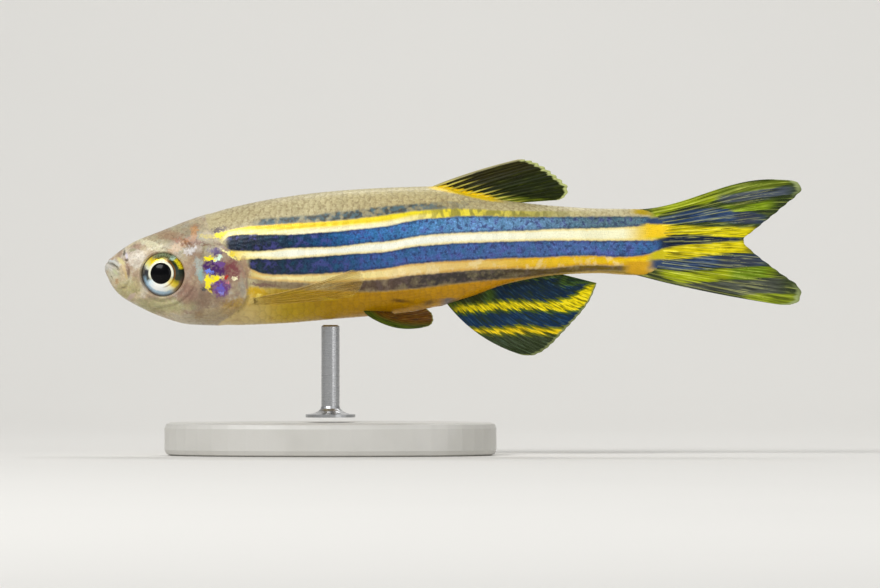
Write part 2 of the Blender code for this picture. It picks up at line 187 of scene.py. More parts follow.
LOWER_BLUE_TOP = (
    (8.5, 0.50), (9.1, 0.56), (10.5, 0.53), (11.2, 0.56), (12.7, 0.68), (14.2, 0.79), (15.4, 0.86),
    (17.2, 1.01), (18.1, 1.20), (19.0, 1.32), (20.2, 1.42), (21.4, 1.50), (23.8, 1.58), (26.8, 1.66),
    (30.4, 1.65), (34.0, 1.70),
)
LOWER_GOLD_TOP = (
    (8.5, 0.14), (9.2, -0.22), (9.9, -0.38), (11.2, -0.41), (12.7, -0.37), (15.4, -0.19), (17.2, 0.00),
    (18.1, 0.18), (19.0, 0.27), (20.2, 0.37), (21.4, 0.43), (23.8, 0.57), (26.8, 0.66), (28.5, 0.74),
    (32.2, 0.73), (33.5, 1.10),
)
DARK_TOP = (
    (8.7, -0.60), (9.9, -0.77), (11.5, -0.85), (12.7, -0.93), (15.4, -0.76), (17.2, -0.64), (18.1, -0.49),
    (20.2, -0.30), (21.4, -0.18), (23.8, -0.05), (26.8, -0.02), (28.6, 0.16), (30.4, 0.16), (32.5, 0.10),
)
BELLY_TOP = (
    (8.7, -1.10), (11.8, -1.30), (14.2, -1.36), (16.5, -1.41), (17.9, -1.30), (19.2, -1.18), (20.5, -1.02),
    (21.9, -0.86), (23.8, -0.68), (25.2, -0.56), (26.5, -0.42), (27.9, -0.30), (29.8, -0.16), (32.5, -0.24),
)


def srgb(red, green, blue):
    """A colour of a picture, 0 to 255, as the linear values that shaders take."""
    return tuple(((c / 255 + 0.055) / 1.055) ** 2.4 if c > 10 else c / 3294.6 for c in (red, green, blue))


# Spots of the head: x, z, half length, half height, turn in degrees, colour, softness, strength.
HEAD_SPOTS = (
    (3.2, 2.6, 3.4, 1.0, -28, srgb(152, 148, 116), 0.50, 0.65),
    (3.9, 2.0, 1.7, 0.34, -22, srgb(150, 112, 84), 0.45, 0.60),
    (5.0, 1.60, 0.85, 0.16, -8, srgb(158, 96, 58), 0.35, 0.70),
    (1.95, 0.55, 0.72, 0.48, -20, srgb(222, 214, 196), 0.35, 0.80),
    # Painted highlight on the forehead over the eye.
    (2.9, 1.32, 0.95, 0.22, -26, srgb(226, 222, 186), 0.35, 0.75),
    (4.45, 1.25, 0.65, 0.22, 30, srgb(214, 178, 140), 0.35, 0.70),
    (0.45, 0.10, 0.42, 0.30, 22, srgb(192, 194, 186), 0.35, 0.75),
    (0.50, -0.35, 0.40, 0.34, 30, srgb(200, 196, 170), 0.35, 0.80),
    (0.78, -0.86, 0.14, 0.12, 0, srgb(172, 130, 90), 0.40, 0.80),
    (0.44, -0.52, 0.12, 0.06, 10, srgb(112, 106, 74), 0.40, 0.80),
    (1.89, -1.40, 0.17, 0.09, 0, srgb(104, 96, 58), 0.45, 0.80),
    (1.20, -1.50, 1.00, 0.55, 38, srgb(184, 178, 118), 0.50, 0.70),
    (3.60, -2.25, 1.90, 0.42, 4, srgb(170, 166, 116), 0.45, 0.80),
    (4.60, -3.15, 3.40, 0.34, 6, srgb(206, 196, 170), 0.45, 0.80),
    (5.30, -0.20, 0.46, 1.60, -4, srgb(178, 142, 118), 0.55, 0.65),
    (4.95, -1.55, 0.50, 0.60, 30, srgb(150, 116, 100), 0.50, 0.70),
    (5.72, 0.04, 0.22, 0.52, 0, srgb(196, 208, 200), 0.40, 0.85),
    # A silver patch of the skin behind the eye, partly painted highlight.
    (5.20, 1.02, 0.34, 0.22, 20, srgb(238, 234, 230), 0.35, 0.90),
    (5.42, 2.14, 0.18, 0.44, -14, srgb(212, 158, 104), 0.40, 0.90),
    (5.02, 1.60, 0.42, 0.11, 28, srgb(190, 136, 92), 0.40, 0.80),
    (5.45, 1.47, 0.95, 0.08, -4, srgb(128, 90, 62), 0.45, 0.80),
    (5.95, -1.80, 0.40, 0.80, 0, srgb(152, 126, 108), 0.55, 0.70),
    (5.72, -2.85, 0.22, 0.22, 0, srgb(134, 92, 70), 0.50, 0.70),
    (7.55, -0.10, 1.00, 1.00, -35, srgb(172, 140, 118), 0.45, 0.75),
    (8.35, -1.20, 0.16, 0.55, 0, srgb(170, 164, 146), 0.50, 0.80),
    (7.92, -2.42, 0.85, 0.52, 8, srgb(190, 154, 66), 0.50, 0.85),
    (6.40, -1.95, 0.70, 0.42, 0, srgb(142, 116, 92), 0.50, 0.60),
    (7.00, -2.85, 1.60, 0.40, 3, srgb(186, 162, 118), 0.50, 0.70),
)
# Dark and bright spots of the gill cover.
GILL_SPOTS = (
    (6.68, 0.00, 0.70, 0.48, -12, srgb(72, 34, 96), 0.26, 1.00),
    (7.05, -1.20, 0.50, 0.50, 20, srgb(106, 58, 122), 0.32, 1.00),
    (7.72, -0.18, 0.48, 0.54, 0, srgb(118, 48, 62), 0.40, 0.85),
    (7.28, -0.54, 0.11, 0.20, -10, srgb(182, 30, 24), 0.35, 0.95),
    (6.34, -0.24, 0.22, 0.12, 0, srgb(110, 136, 236), 0.30, 1.00),
    (6.98, 0.22, 0.26, 0.12, -30, srgb(116, 74, 150), 0.40, 0.90),
    (7.02, -1.22, 0.22, 0.20, 0, srgb(100, 92, 196), 0.40, 0.90),
    (7.05, -1.52, 0.13, 0.11, 0, srgb(140, 142, 226), 0.35, 0.90),
    (6.68, 1.00, 0.42, 0.18, -10, srgb(82, 60, 112), 0.30, 0.95),
    (6.86, 0.62, 0.25, 0.15, 42, srgb(222, 250, 226), 0.30, 1.00),
    (6.36, 0.57, 0.38, 0.14, -12, srgb(255, 238, 18), 0.22, 1.00),
    (6.56, -0.68, 0.48, 0.18, 10, srgb(255, 236, 14), 0.22, 1.00),
    (6.24, -0.94, 0.18, 0.46, 0, srgb(255, 238, 20), 0.22, 1.00),
    (6.42, -1.42, 0.18, 0.06, -30, srgb(232, 206, 70), 0.30, 0.90),
    (7.06, -0.52, 0.17, 0.06, 45, srgb(244, 222, 160), 0.30, 0.90),
    (7.43, -0.88, 0.10, 0.08, 0, srgb(226, 130, 140), 0.35, 0.90),
    (7.88, -0.63, 0.11, 0.12, -10, srgb(248, 240, 196), 0.30, 1.00),
    (5.88, -0.42, 0.12, 0.38, -8, srgb(130, 180, 178), 0.45, 0.75),
    (5.98, -1.36, 0.13, 0.13, 0, srgb(66, 70, 74), 0.40, 0.85),
    (6.52, -1.26, 0.13, 0.16, 0, srgb(104, 76, 16), 0.35, 0.90),
)
# Finer marks of mouth, nostril and upper jaw, with clean rims. Some are painted light: shade in the mouth's
# crease, in the nostrils and in a fold of the forehead, and a highlight on the nostril flap.
FACE_MARKS = (
    (0.30, 0.42, 0.32, 0.07, -8, srgb(206, 208, 204), 0.45, 0.85),
    (0.75, 0.25, 0.20, 0.07, -48, srgb(206, 206, 194), 0.45, 0.85),
    # Painted shade along the crease of the mouth.
    (0.30, 0.28, 0.18, 0.05, -14, srgb(138, 138, 126), 0.50, 0.65),
    (0.60, 0.16, 0.19, 0.06, -32, srgb(126, 122, 106), 0.50, 0.65),
    (0.80, -0.01, 0.15, 0.05, -58, srgb(128, 120, 98), 0.50, 0.65),
    (0.36, 0.02, 0.30, 0.09, -42, srgb(212, 206, 194), 0.45, 0.75),
    (0.66, -0.24, 0.24, 0.09, -50, srgb(190, 192, 150), 0.45, 0.75),
    (1.02, 0.40, 0.30, 0.12, -42, srgb(226, 216, 158), 0.45, 0.80),
    (1.20, -0.04, 0.30, 0.09, -72, srgb(218, 194, 142), 0.45, 0.70),
    (1.33, -0.48, 0.20, 0.08, -80, srgb(200, 172, 110), 0.45, 0.65),
    (1.48, -0.28, 0.08, 0.26, 0, srgb(122, 100, 84), 0.50, 0.85),
    # Painted shade in the two nostril openings.
    (1.20, 0.92, 0.06, 0.17, -10, srgb(112, 110, 98), 0.50, 0.85),
    (1.34, 0.48, 0.10, 0.05, 0, srgb(122, 106, 86), 0.50, 0.85),
    # Painted highlight on the nostril flap.
    (1.35, 0.72, 0.08, 0.19, 10, srgb(214, 208, 218), 0.45, 0.80),
    # Painted shade in a fold of the forehead.
    (1.02, 1.12, 0.20, 0.05, 24, srgb(140, 140, 126), 0.50, 0.80),
    (1.70, 1.08, 0.22, 0.08, 10, srgb(152, 148, 114), 0.50, 0.75),
    (1.62, -1.74, 0.30, 0.12, 38, srgb(196, 170, 162), 0.50, 0.70),
)
# Spots that lie across the edge of the head or behind it.
BODY_SPOTS = (
    (6.24, 1.86, 0.45, 0.15, 0, srgb(206, 188, 84), 0.40, 0.75),
    (6.98, 2.31, 0.46, 0.15, 14, srgb(104, 92, 98), 0.30, 0.90),
    (6.98, 1.92, 0.34, 0.16, 14, srgb(252, 236, 60), 0.28, 1.00),
    (7.60, 0.76, 0.54, 0.07, -38, srgb(252, 242, 150), 0.30, 1.00),
    (7.76, 0.78, 0.24, 0.14, -20, srgb(252, 226, 60), 0.35, 0.90),
    (8.50, 0.00, 0.24, 0.56, 18, srgb(156, 120, 100), 0.45, 0.75),
    (9.60, -1.00, 0.75, 0.10, -3, srgb(116, 84, 78), 0.40, 0.75),
    (9.20, -1.48, 0.60, 0.27, -8, srgb(204, 164, 18), 0.35, 0.95),
    (9.30, -1.72, 0.20, 0.10, 20, srgb(248, 226, 110), 0.35, 0.80),
)

# Bands of the fins and marks of the body: upper and lower edge as knots of x and z, colour, opacity.
TAIL_BANDS = (
    (
        ((33.0, 3.62), (34.4, 4.12), (35.7, 4.46), (38.0, 4.96), (41.0, 5.30)),
        ((33.0, 2.98), (34.4, 3.48), (35.9, 3.76), (37.4, 4.30), (41.0, 4.98)),
        srgb(142, 156, 12), 0.97,
    ),
    (
        ((36.9, 4.80), (38.0, 5.02), (41.0, 5.36)),
        ((36.9, 4.30), (37.4, 4.26), (41.0, 4.94)),
        srgb(98, 114, 26), 0.97,
    ),
    (
        ((37.0, 4.34), (39.4, 4.70), (41.4, 4.9)),
        ((37.0, 3.96), (39.4, 4.12), (41.4, 4.5)),
        srgb(72, 80, 92), 0.97,
    ),
    (
        ((37.2, 3.74), (38.7, 3.86), (40.2, 4.10)),
        ((37.2, 3.50), (38.7, 3.42), (40.2, 3.60)),
        srgb(118, 142, 16), 0.97,
    ),
    (
        ((32.4, 3.00), (33.4, 3.04), (35.4, 3.50), (37.0, 3.60), (38.0, 3.42), (39.6, 3.26)),
        ((32.4, 2.60), (33.4, 2.58), (35.4, 2.74), (37.0, 2.76), (38.0, 2.74), (39.6, 2.66)),
        srgb(44, 68, 106), 0.97,
    ),
    (((38.0, 3.42), (39.6, 3.26)), ((38.0, 2.74), (39.6, 2.66)), srgb(60, 66, 80), 0.97),
    (
        ((32.3, 2.62), (33.8, 2.58), (36.4, 2.48), (39.2, 2.46)),
        ((32.3, 1.84), (33.4, 1.80), (34.4, 1.98), (36.4, 1.94), (39.2, 1.82)),
        srgb(214, 200, 8), 0.97,
    ),
    (
        ((33.4, 1.76), (34.4, 1.92), (36.4, 1.92), (38.4, 1.78)),
        ((33.4, 1.16), (35.4, 1.28), (36.4, 1.50), (38.4, 1.68)),
        srgb(20, 34, 62), 0.97,
    ),
    (
        ((32.8, 0.78), (33.3, 1.04), (34.4, 1.28), (36.4, 1.52), (38.8, 1.66)),
        ((32.8, 0.40), (34.4, 0.50), (36.4, 0.78), (38.8, 0.94)),
        srgb(210, 194, 8), 0.97,
    ),
    (
        ((32.9, 0.50), (35.0, 0.52), (36.4, 0.72), (39.6, 0.76)),
        ((32.9, -0.02), (35.0, -0.10), (36.4, 0.00), (39.6, 0.10)),
        srgb(52, 72, 108), 0.97,
    ),
    (((37.0, 0.72), (39.6, 0.76)), ((37.0, 0.02), (39.6, 0.10)), srgb(60, 66, 78), 0.97),
    (
        ((33.5, -0.10), (35.4, -0.24), (37.4, -0.06), (40.2, 0.06)),
        ((33.5, -0.50), (35.4, -0.92), (37.4, -0.72), (40.2, -0.50)),
        srgb(152, 162, 12), 0.97,
    ),
    (((37.7, -0.02), (40.2, 0.10)), ((37.7, -0.74), (40.2, -0.54)), srgb(104, 130, 20), 0.97),
    (
        ((35.0, -0.92), (37.4, -0.80), (40.8, -0.60)),
        ((35.0, -1.3), (38.9, -1.60), (41.6, -1.50)),
        srgb(78, 82, 72), 0.97,
    ),
    (((38.6, -1.55), (41.8, -1.55)), ((38.6, -2.10), (41.8, -2.40)), srgb(132, 146, 30), 0.97),
    (((32.3, 2.66), (34.0, 2.60)), ((32.3, 1.80), (34.0, 1.90)), srgb(250, 208, 16), 1.0),
)
DORSAL_GOLD = (
    ((19.6, 5.10), (20.2, 5.02), (21.2, 4.80), (22.5, 4.52), (23.8, 4.20)),
    ((19.6, 4.78), (20.2, 4.64), (21.2, 4.46), (22.5, 4.15), (23.8, 3.96)),
)
BODY_MARKS = (
    (*DORSAL_GOLD, srgb(240, 204, 30), 1.0),
    (((31.8, 3.66), (33.1, 3.62)), ((31.8, 3.26), (33.1, 3.10)), srgb(184, 156, 28), 1.0),
    (((31.4, 0.40), (33.0, 0.40)), ((31.4, -0.30), (33.0, -0.55)), srgb(218, 166, 20), 1.0),
    (((13.2, -1.76), (13.8, -1.80)), ((13.2, -1.94), (13.8, -1.92)), srgb(232, 204, 20), 1.0),
    (((14.4, -1.62), (14.8, -1.60)), ((14.4, -1.76), (14.8, -1.74)), srgb(226, 190, 24), 1.0),
    (((17.4, -1.86), (18.3, -1.94)), ((17.4, -2.04), (18.3, -2.12)), srgb(106, 74, 14), 1.0),
    (((19.3, -2.00), (19.9, -1.90)), ((19.3, -2.26), (19.9, -2.14)), srgb(104, 76, 26), 1.0),
    (((20.3, -1.85), (21.2, -1.80)), ((20.3, -2.70), (21.2, -2.40)), srgb(116, 104, 100), 1.0),
)
ANAL_UPPER_YELLOW = (
    (
        (20.9, -2.24), (22.8, -2.13), (24.0, -2.01), (25.2, -2.01), (26.5, -2.04), (27.9, -1.80),
        (29.2, -1.00), (29.8, -0.75),
    ),
    (
        (20.9, -2.80), (22.6, -2.70), (23.9, -2.62), (25.2, -2.58), (26.5, -2.62), (27.9, -2.66),
        (29.0, -2.30), (29.8, -1.60),
    ),
)
ANAL_LOWER_YELLOW = (
    (
        (22.0, -3.65), (22.6, -3.65), (23.9, -3.61), (25.2, -3.50), (26.5, -3.62), (27.5, -3.60),
        (28.6, -3.30),
    ),
    ((22.0, -3.95), (22.6, -4.08), (23.9, -4.25), (25.2, -4.14), (26.5, -4.30), (27.6, -4.00)),
)
ANAL_BANDS = (
    (((20.5, -1.60), (24.0, -0.90), (29.8, -0.30)), ANAL_UPPER_YELLOW[0], srgb(14, 36, 60), 0.97),
    (((21.0, -1.50), (23.2, -1.30)), ((21.0, -2.34), (23.2, -2.16)), srgb(44, 52, 14), 0.96),
    (((27.6, -0.60), (29.8, -0.20)), ((27.6, -1.04), (29.8, -0.74)), srgb(22, 44, 26), 0.96),
    (*ANAL_UPPER_YELLOW, srgb(216, 196, 4), 0.97),
    (ANAL_UPPER_YELLOW[1], ANAL_LOWER_YELLOW[0], srgb(15, 42, 72), 0.97),
    (*ANAL_LOWER_YELLOW, srgb(220, 188, 8), 0.96),
    (((22.5, -4.00), (27.6, -4.00)), ((22.5, -5.30), (27.6, -5.30)), srgb(48, 58, 32), 0.90),
)
DORSAL_BANDS = (
    (((19.5, 5.20), *DORSAL_GOLD[0][2:]), DORSAL_GOLD[1], srgb(240, 204, 20), 0.97),
    (((23.6, 4.34), (27.5, 4.06)), ((23.6, 3.90), (27.5, 3.80)), srgb(92, 104, 16), 0.97),
)

# Runs of colour along the body: share of its length, colour.
BACK_COLOURS = (
    (0.26, srgb(192, 180, 138)), (0.36, srgb(203, 192, 148)), (0.48, srgb(193, 178, 130)),
    (0.60, srgb(190, 174, 122)), (0.72, srgb(190, 178, 130)), (0.80, srgb(204, 194, 152)),
)
BELLY_COLOURS = (
    (0.20, srgb(206, 180, 116)), (0.27, srgb(208, 181, 94)), (0.32, srgb(192, 161, 34)),
    (0.40, srgb(180, 138, 4)), (0.50, srgb(184, 134, 4)), (0.62, srgb(198, 144, 4)),
    (0.74, srgb(214, 146, 6)), (0.82, srgb(196, 146, 30)), (0.90, srgb(153, 124, 30)),
    (0.94, srgb(118, 104, 12)),
)
DARK_COLOURS = (
    (0.42, srgb(86, 68, 48)), (0.50, srgb(88, 70, 58)), (0.57, srgb(60, 54, 52)), (0.68, srgb(58, 53, 46)),
    (0.75, srgb(88, 70, 34)), (0.82, srgb(108, 86, 8)), (0.93, srgb(110, 92, 6)),
)
LOWER_GOLD_COLOURS = (
    (0.25, srgb(210, 184, 104)), (0.31, srgb(250, 238, 172)), (0.43, srgb(255, 238, 156)),
    (0.52, srgb(246, 220, 152)), (0.61, srgb(234, 200, 118)), (0.68, srgb(238, 200, 100)),
    (0.74, srgb(242, 196, 40)), (0.90, srgb(248, 204, 4)),
)
LOWER_BLUE_COLOURS = (
    (0.26, srgb(38, 48, 60)), (0.33, srgb(34, 50, 74)), (0.39, srgb(36, 66, 106)),
    (0.46, srgb(54, 92, 150)), (0.56, srgb(66, 104, 162)), (0.70, srgb(74, 104, 160)),
    (0.90, srgb(80, 110, 168)), (0.94, srgb(60, 100, 156)),
)
CREAM_COLOURS = (
    (0.22, srgb(252, 224, 70)), (0.27, srgb(255, 253, 214)), (0.33, srgb(255, 255, 234)),
    (0.60, srgb(255, 255, 236)), (0.84, srgb(255, 252, 212)), (0.91, srgb(253, 249, 206)),
    (0.94, srgb(244, 214, 100)),
)
UPPER_BLUE_COLOURS = (
    (0.26, srgb(36, 40, 52)), (0.32, srgb(30, 50, 72)), (0.38, srgb(30, 72, 120)),
    (0.45, srgb(56, 114, 176)), (0.54, srgb(76, 132, 190)), (0.62, srgb(104, 152, 200)),
    (0.74, srgb(110, 150, 188)), (0.86, srgb(94, 122, 134)),
)
GOLD_COLOURS = (
    (0.20, srgb(250, 222, 40)), (0.28, srgb(240, 199, 40)), (0.40, srgb(242, 207, 48)),
    (0.54, srgb(244, 224, 36)), (0.61, srgb(246, 226, 56)), (0.68, srgb(222, 206, 84)),
    (0.78, srgb(182, 174, 96)), (0.88, srgb(190, 180, 124)),
)


# Shapes of the body


def eased(places, values, x):
    """Values at x of the smooth curve through the values, with no overshoot between them."""
    places, values = np.asarray(places, float), np.asarray(values, float)
    x = np.asarray(x, float)
    step = np.diff(places)
    rise = np.diff(values) / step
    slope = np.zeros(len(places))
    slope[0], slope[-1] = rise[0], rise[-1]
    same_way = rise[:-1] * rise[1:] > 0
    total = np.where(same_way, rise[:-1] + rise[1:], 1.0)
    slope[1:-1] = np.where(same_way, 2 * rise[:-1] * rise[1:] / total, 0.0)
    i = np.clip(np.searchsorted(places, x) - 1, 0, len(step) - 1)
    t = (x - places[i]) / step[i]
    a = (1 + 2 * t) * (1 - t) ** 2 * values[i] + t * (1 - t) ** 2 * step[i] * slope[i]
    b = t**2 * (3 - 2 * t) * values[i + 1] + t**2 * (t - 1) * step[i] * slope[i + 1]
    return a + b


def along(points, t):
    """Points at the shares t of the length of a smooth line through the points."""
    points = np.array(points, float)
    run = np.concatenate(([0.0], np.cumsum(np.linalg.norm(np.diff(points, axis=0), axis=1))))
    return np.stack([eased(run / run[-1], points[:, k], t) for k in range(points.shape[1])], axis=-1)


def section(x):
    """Back, belly and half width at x. The square root of x keeps the snout round."""
    roots = np.sqrt(BODY_SECTIONS[:, 0])
    x = np.sqrt(np.clip(x, 0.0, BODY_END))
    return [eased(roots, BODY_SECTIONS[:, k], x) for k in (1, 2, 3)]


def flank(x, z):
    """Distance from the middle plane to the skin at points of the side view."""
    top, bottom, half_width = section(x)
    share = np.abs(2 * z - top - bottom) / np.maximum(top - bottom, 1e-6)
    return half_width * np.maximum(1 - share**SECTION_POWER, 0.0) ** (1 / SECTION_POWER)


def underside(x, y):
    """Height of the skin of the belly at distances y from the middle plane."""
    top, bottom, half_width = section(x)
    share = np.minimum(y / half_width, 1.0)
    return (top + bottom) / 2 - (top - bottom) / 2 * (1 - share**SECTION_POWER) ** (1 / SECTION_POWER)


def smooth_step(low, high, value):
    """A smooth rise from 0 at the low value to 1 at the high one."""
    t = np.clip((value - low) / (high - low), 0, 1)
    return t * t * (3 - 2 * t)


def hill(distance, width):
    """A smooth rise of height 1 where the distance is none."""
    return np.exp(-((distance / width) ** 2))


def distance_to_line(line, x, z):
    """How far points of the side view lie from a smooth line: more than none to the left of its run."""
    line = along(line, np.linspace(0, 1, 24))
    best = np.full(x.shape, 1e9)
    for a, b in zip(line, line[1:]):
        run = b - a
        t = np.clip(((x - a[0]) * run[0] + (z - a[1]) * run[1]) / (run @ run), 0, 1)
        d = np.hypot(x - a[0] - t * run[0], z - a[1] - t * run[1])
        side = np.where(run[0] * (z - a[1]) >= run[1] * (x - a[0]), 1.0, -1.0)
        best = np.where(d < np.abs(best), d * side, best)
    return best


def cover_edge_x(z):
    """Where the back of the head and of the gill cover lies at the heights z."""
    heights = [-p[1] for p in COVER_EDGE]
    return eased(heights, [p[0] for p in COVER_EDGE], -np.clip(z, -4.9, 5.9))


def behind_cover(x, z):
    """Distances behind the edge of the head, square to it, less than none on the head."""
    slope = (cover_edge_x(z + 0.05) - cover_edge_x(z - 0.05)) / 0.1
    return (x - cover_edge_x(z)) / np.sqrt(1 + slope**2)


def head_relief(x, y, z, cover_rise):
    """How far lips, folds, nostrils, gill covers and eye sockets stand out of the plain body."""
    mouth = distance_to_line(MOUTH_LINE, x, z)
    lips = np.where(mouth > 0, hill(mouth - 0.15, 0.11), 0.8 * hill(mouth + 0.20, 0.13))
    rise = 0.080 * lips - 0.11 * hill(mouth, 0.05) - 0.055 * hill(distance_to_line(LIP_FOLD, x, z), 0.06)
    rise *= 0.08 + 0.92 * smooth_step(0.10, 0.48, x)

    jaw = distance_to_line(UPPER_JAW_LINE, x, z)
    rise += 0.055 * hill(jaw, 0.11) - 0.07 * hill(jaw - 0.19, 0.07)
    for nx, nz, radius in NOSTRILS:
        distance = np.hypot(x - nx, z - nz)
        rise += 0.04 * hill(distance - radius * 1.6, 0.06) - 0.22 * hill(distance, radius * 0.9)
    rise += 0.06 * hill(np.hypot(x - NOSTRIL_FLAP[0], z - NOSTRIL_FLAP[1]), 0.10)

    cheek = distance_to_line(CHEEK_LINE, x, z)
    rise += 0.035 * hill(cheek + 0.16, 0.14) - 0.065 * hill(cheek, 0.07)
    rise -= 0.04 * hill(distance_to_line(COVER_FOLD, x, z), 0.08)

    behind = behind_cover(x, z)
    level = smooth_step(-3.3, -2.5, z) * (1 - smooth_step(0.75, 1.35, z))
    rise += cover_rise * smooth_step(-3.0, 0.0, behind) * (behind < 0) * level
    rise -= 0.12 * level * hill(behind - 0.06, 0.10) * (behind > 0)
    rise -= 0.045 * level * hill(behind + 0.50, 0.08)
    under_head = smooth_step(-1.9, -2.4, z) * smooth_step(2.2, 3.2, x) * (1 - smooth_step(6.2, 7.2, x))
    for fold in THROAT_FOLDS:
        across = np.abs(y) - fold - 0.16 * (x - 2.4)
        rise -= 0.05 * hill(across, 0.06) * under_head

    from_rim = np.hypot(x - EYE_CENTRE[0], z - EYE_CENTRE[1]) - EYE_RADIUS
    rise += 0.05 * hill(from_rim - 0.12, 0.08) - 0.03 * hill(from_rim - 0.36, 0.06) * (z < 0.3)
    rise = np.where(from_rim < 0.10, rise * smooth_step(-0.10, 0.10, from_rim), rise)
    return rise - EYE_HALF_DEPTH * (1 - smooth_step(-0.10, 0.05, from_rim))


def fin_bases(x, y, z):
    """Low swellings of the flesh that the fins stand on."""
    y = np.abs(y)
    rise = 0.10 * hill(np.hypot(x - 9.05, z + 1.9), 0.40)
    rise += 0.07 * hill(np.hypot(x - 15.6, y - 1.25), 0.45) * (z < 0)
    rise += 0.06 * hill(y, 0.35) * hill(x - 20.35, 0.30) * (z < 0)
    return rise


def new_object(name, mesh, smooth=True):
    """An object at the origin with this mesh."""
    obj = bpy.data.objects.new(name, mesh)
    bpy.context.scene.collection.objects.link(obj)
    if smooth:
        mesh.shade_smooth()
    return obj


def metres(points):
    """Points of x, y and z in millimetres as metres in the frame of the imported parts."""
    points = np.asarray(points, float)
    return (points - (TOTAL_LENGTH / 2, 0.0, -SNOUT_HEIGHT)) * MM


def sheet_mesh(name, points, uv, wrap=False):
    """A mesh from rows of points, closed round its rows where wrap says so, with the map "lie"."""
    rows, columns = points.shape[:2]
    index = np.arange(rows * columns).reshape(rows, columns)
    last = columns if wrap else columns - 1
    i, j = np.meshgrid(np.arange(rows - 1), np.arange(last), indexing="ij")
    k = (j + 1) % columns
    quads = np.stack([index[i, j], index[i + 1, j], index[i + 1, k], index[i, k]], -1).reshape(-1, 4)
    corners = [(i, j), (i + 1, j), (i + 1, j + 1), (i, j + 1)]
    places = np.stack([np.stack([uv[0][a], uv[1][b]], -1) for a, b in corners], -2).reshape(-1, 2)
    mesh = bpy.data.meshes.new(name)
    mesh.from_pydata(points.reshape(-1, 3).tolist(), [], quads.tolist())
    layer = mesh.uv_layers.new(name="lie")
    layer.data.foreach_set("uv", places.astype(np.float32).ravel())
    return mesh


def store(mesh, name, values):
    """Keeps one number for each point of the mesh under a name that materials and node trees can read."""
    attribute = mesh.attributes.new(name, "FLOAT", "POINT")
    attribute.data.foreach_set("value", np.asarray(values, np.float32).ravel())


def weld(mesh, close=False):
    """Joins points that meet at poles and seams, closes holes where asked, and turns all faces outwards."""
    bm = bmesh.new()
    bm.from_mesh(mesh)
    bmesh.ops.remove_doubles(bm, verts=bm.verts, dist=SAME_PLACE)
    if close:
        bmesh.ops.holes_fill(bm, edges=[e for e in bm.edges if e.is_boundary])
    bmesh.ops.recalc_face_normals(bm, faces=bm.faces)
    bm.to_mesh(mesh)
    bm.free()


def finish_piece(piece, nodes):
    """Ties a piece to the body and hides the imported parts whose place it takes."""
    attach(piece, BODY)
    if nodes:
        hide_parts(*nodes)


# Wiring of node trees


class Wiring:
    """Adds nodes to one tree. A value is a number, a colour, a name, or another node's output."""

    def __init__(self, tree):
        self.tree = tree

    def add(self, kind, inputs=None, **settings):
        node = self.tree.nodes.new(kind)
        for key, value in settings.items():
            setattr(node, key, value)
        for key, value in (inputs or {}).items():
            self.feed(node.inputs[key], value)
        return node

    def feed(self, socket, value):
        if isinstance(value, bpy.types.NodeSocket):
            self.tree.links.new(value, socket)
        elif socket.type == "RGBA" and len(value) == 3:
            socket.default_value = (*value, 1.0)
        else:
            socket.default_value = value

    def math(self, operation, a, b=0.0, c=0.0):
        return self.add("ShaderNodeMath", {0: a, 1: b, 2: c}, operation=operation).outputs[0]

    def plus(self, a, b):
        return self.math("ADD", a, b)

    def minus(self, a, b):
        return self.math("SUBTRACT", a, b)

    def times(self, a, b):
        return self.math("MULTIPLY", a, b)

    def over(self, a, b):
        return self.math("DIVIDE", a, b)

    def vector(self, operation, a, b=(0, 0, 0)):
        node = self.add("ShaderNodeVectorMath", {0: a, 1: b}, operation=operation)
        return node.outputs["Value" if operation in ("LENGTH", "DOT_PRODUCT") else "Vector"]

    def combine(self, x, y, z=0.0):
        return self.add("ShaderNodeCombineXYZ", {0: x, 1: y, 2: z}).outputs[0]

    def split(self, vector):
        return self.add("ShaderNodeSeparateXYZ", {0: vector}).outputs

    def scaled(self, value, factor):
        """A vector times a number."""
        node = self.add("ShaderNodeVectorMath", {0: value}, operation="SCALE")
        self.feed(node.inputs["Scale"], factor)
        return node.outputs["Vector"]

    def lit(self, colour, factor):
        """A colour made lighter or darker by a factor."""
        return self.add("ShaderNodeHueSaturation", {"Color": colour, "Value": factor}).outputs["Color"]

    def between(self, value, low, high, to_low=0.0, to_high=1.0, smooth=True):
        """The value's place from low to high, as a smooth or straight run from to_low to to_high."""
        kind = "SMOOTHSTEP" if smooth else "LINEAR"
        inputs = {0: value, 1: low, 2: high, 3: to_low, 4: to_high}
        return self.add("ShaderNodeMapRange", inputs, interpolation_type=kind, clamp=not smooth).outputs[0]

    def blend(self, factor, a, b):
        """The colour a, with the colour b laid over it at the factor's strength."""
        return self.add("ShaderNodeMix", {0: factor, 6: a, 7: b}, data_type="RGBA").outputs[2]

    def noise(self, vector, scale, detail=2.0, rough=0.5, output="Fac"):
        inputs = {"Vector": vector, "Scale": scale, "Detail": detail, "Roughness": rough}
        return self.add("ShaderNodeTexNoise", inputs).outputs[output]

    def ramp(self, value, stops):
        """A run of colours over a value from 0 to 1."""
        node = self.add("ShaderNodeValToRGB", {0: value})
        elements = node.color_ramp.elements
        while len(elements) < len(stops):
            elements.new(0.5)
        for element, (place, colour) in zip(elements, stops):
            element.position = place
            element.color = (*colour, 1.0)
        return node.outputs["Color"]


def new_group(name, inputs, outputs, kind="ShaderNodeTree"):
    """An empty node group with its sockets, its wiring, and the sockets inside it by name."""
    tree = bpy.data.node_groups.new(name, kind)
    for direction, sockets in (("INPUT", inputs), ("OUTPUT", outputs)):
        for label, socket_type in sockets:
            tree.interface.new_socket(name=label, in_out=direction, socket_type="NodeSocket" + socket_type)
    wiring = Wiring(tree)
    given = wiring.add("NodeGroupInput").outputs
    result = wiring.add("NodeGroupOutput").inputs
    return tree, wiring, given, result


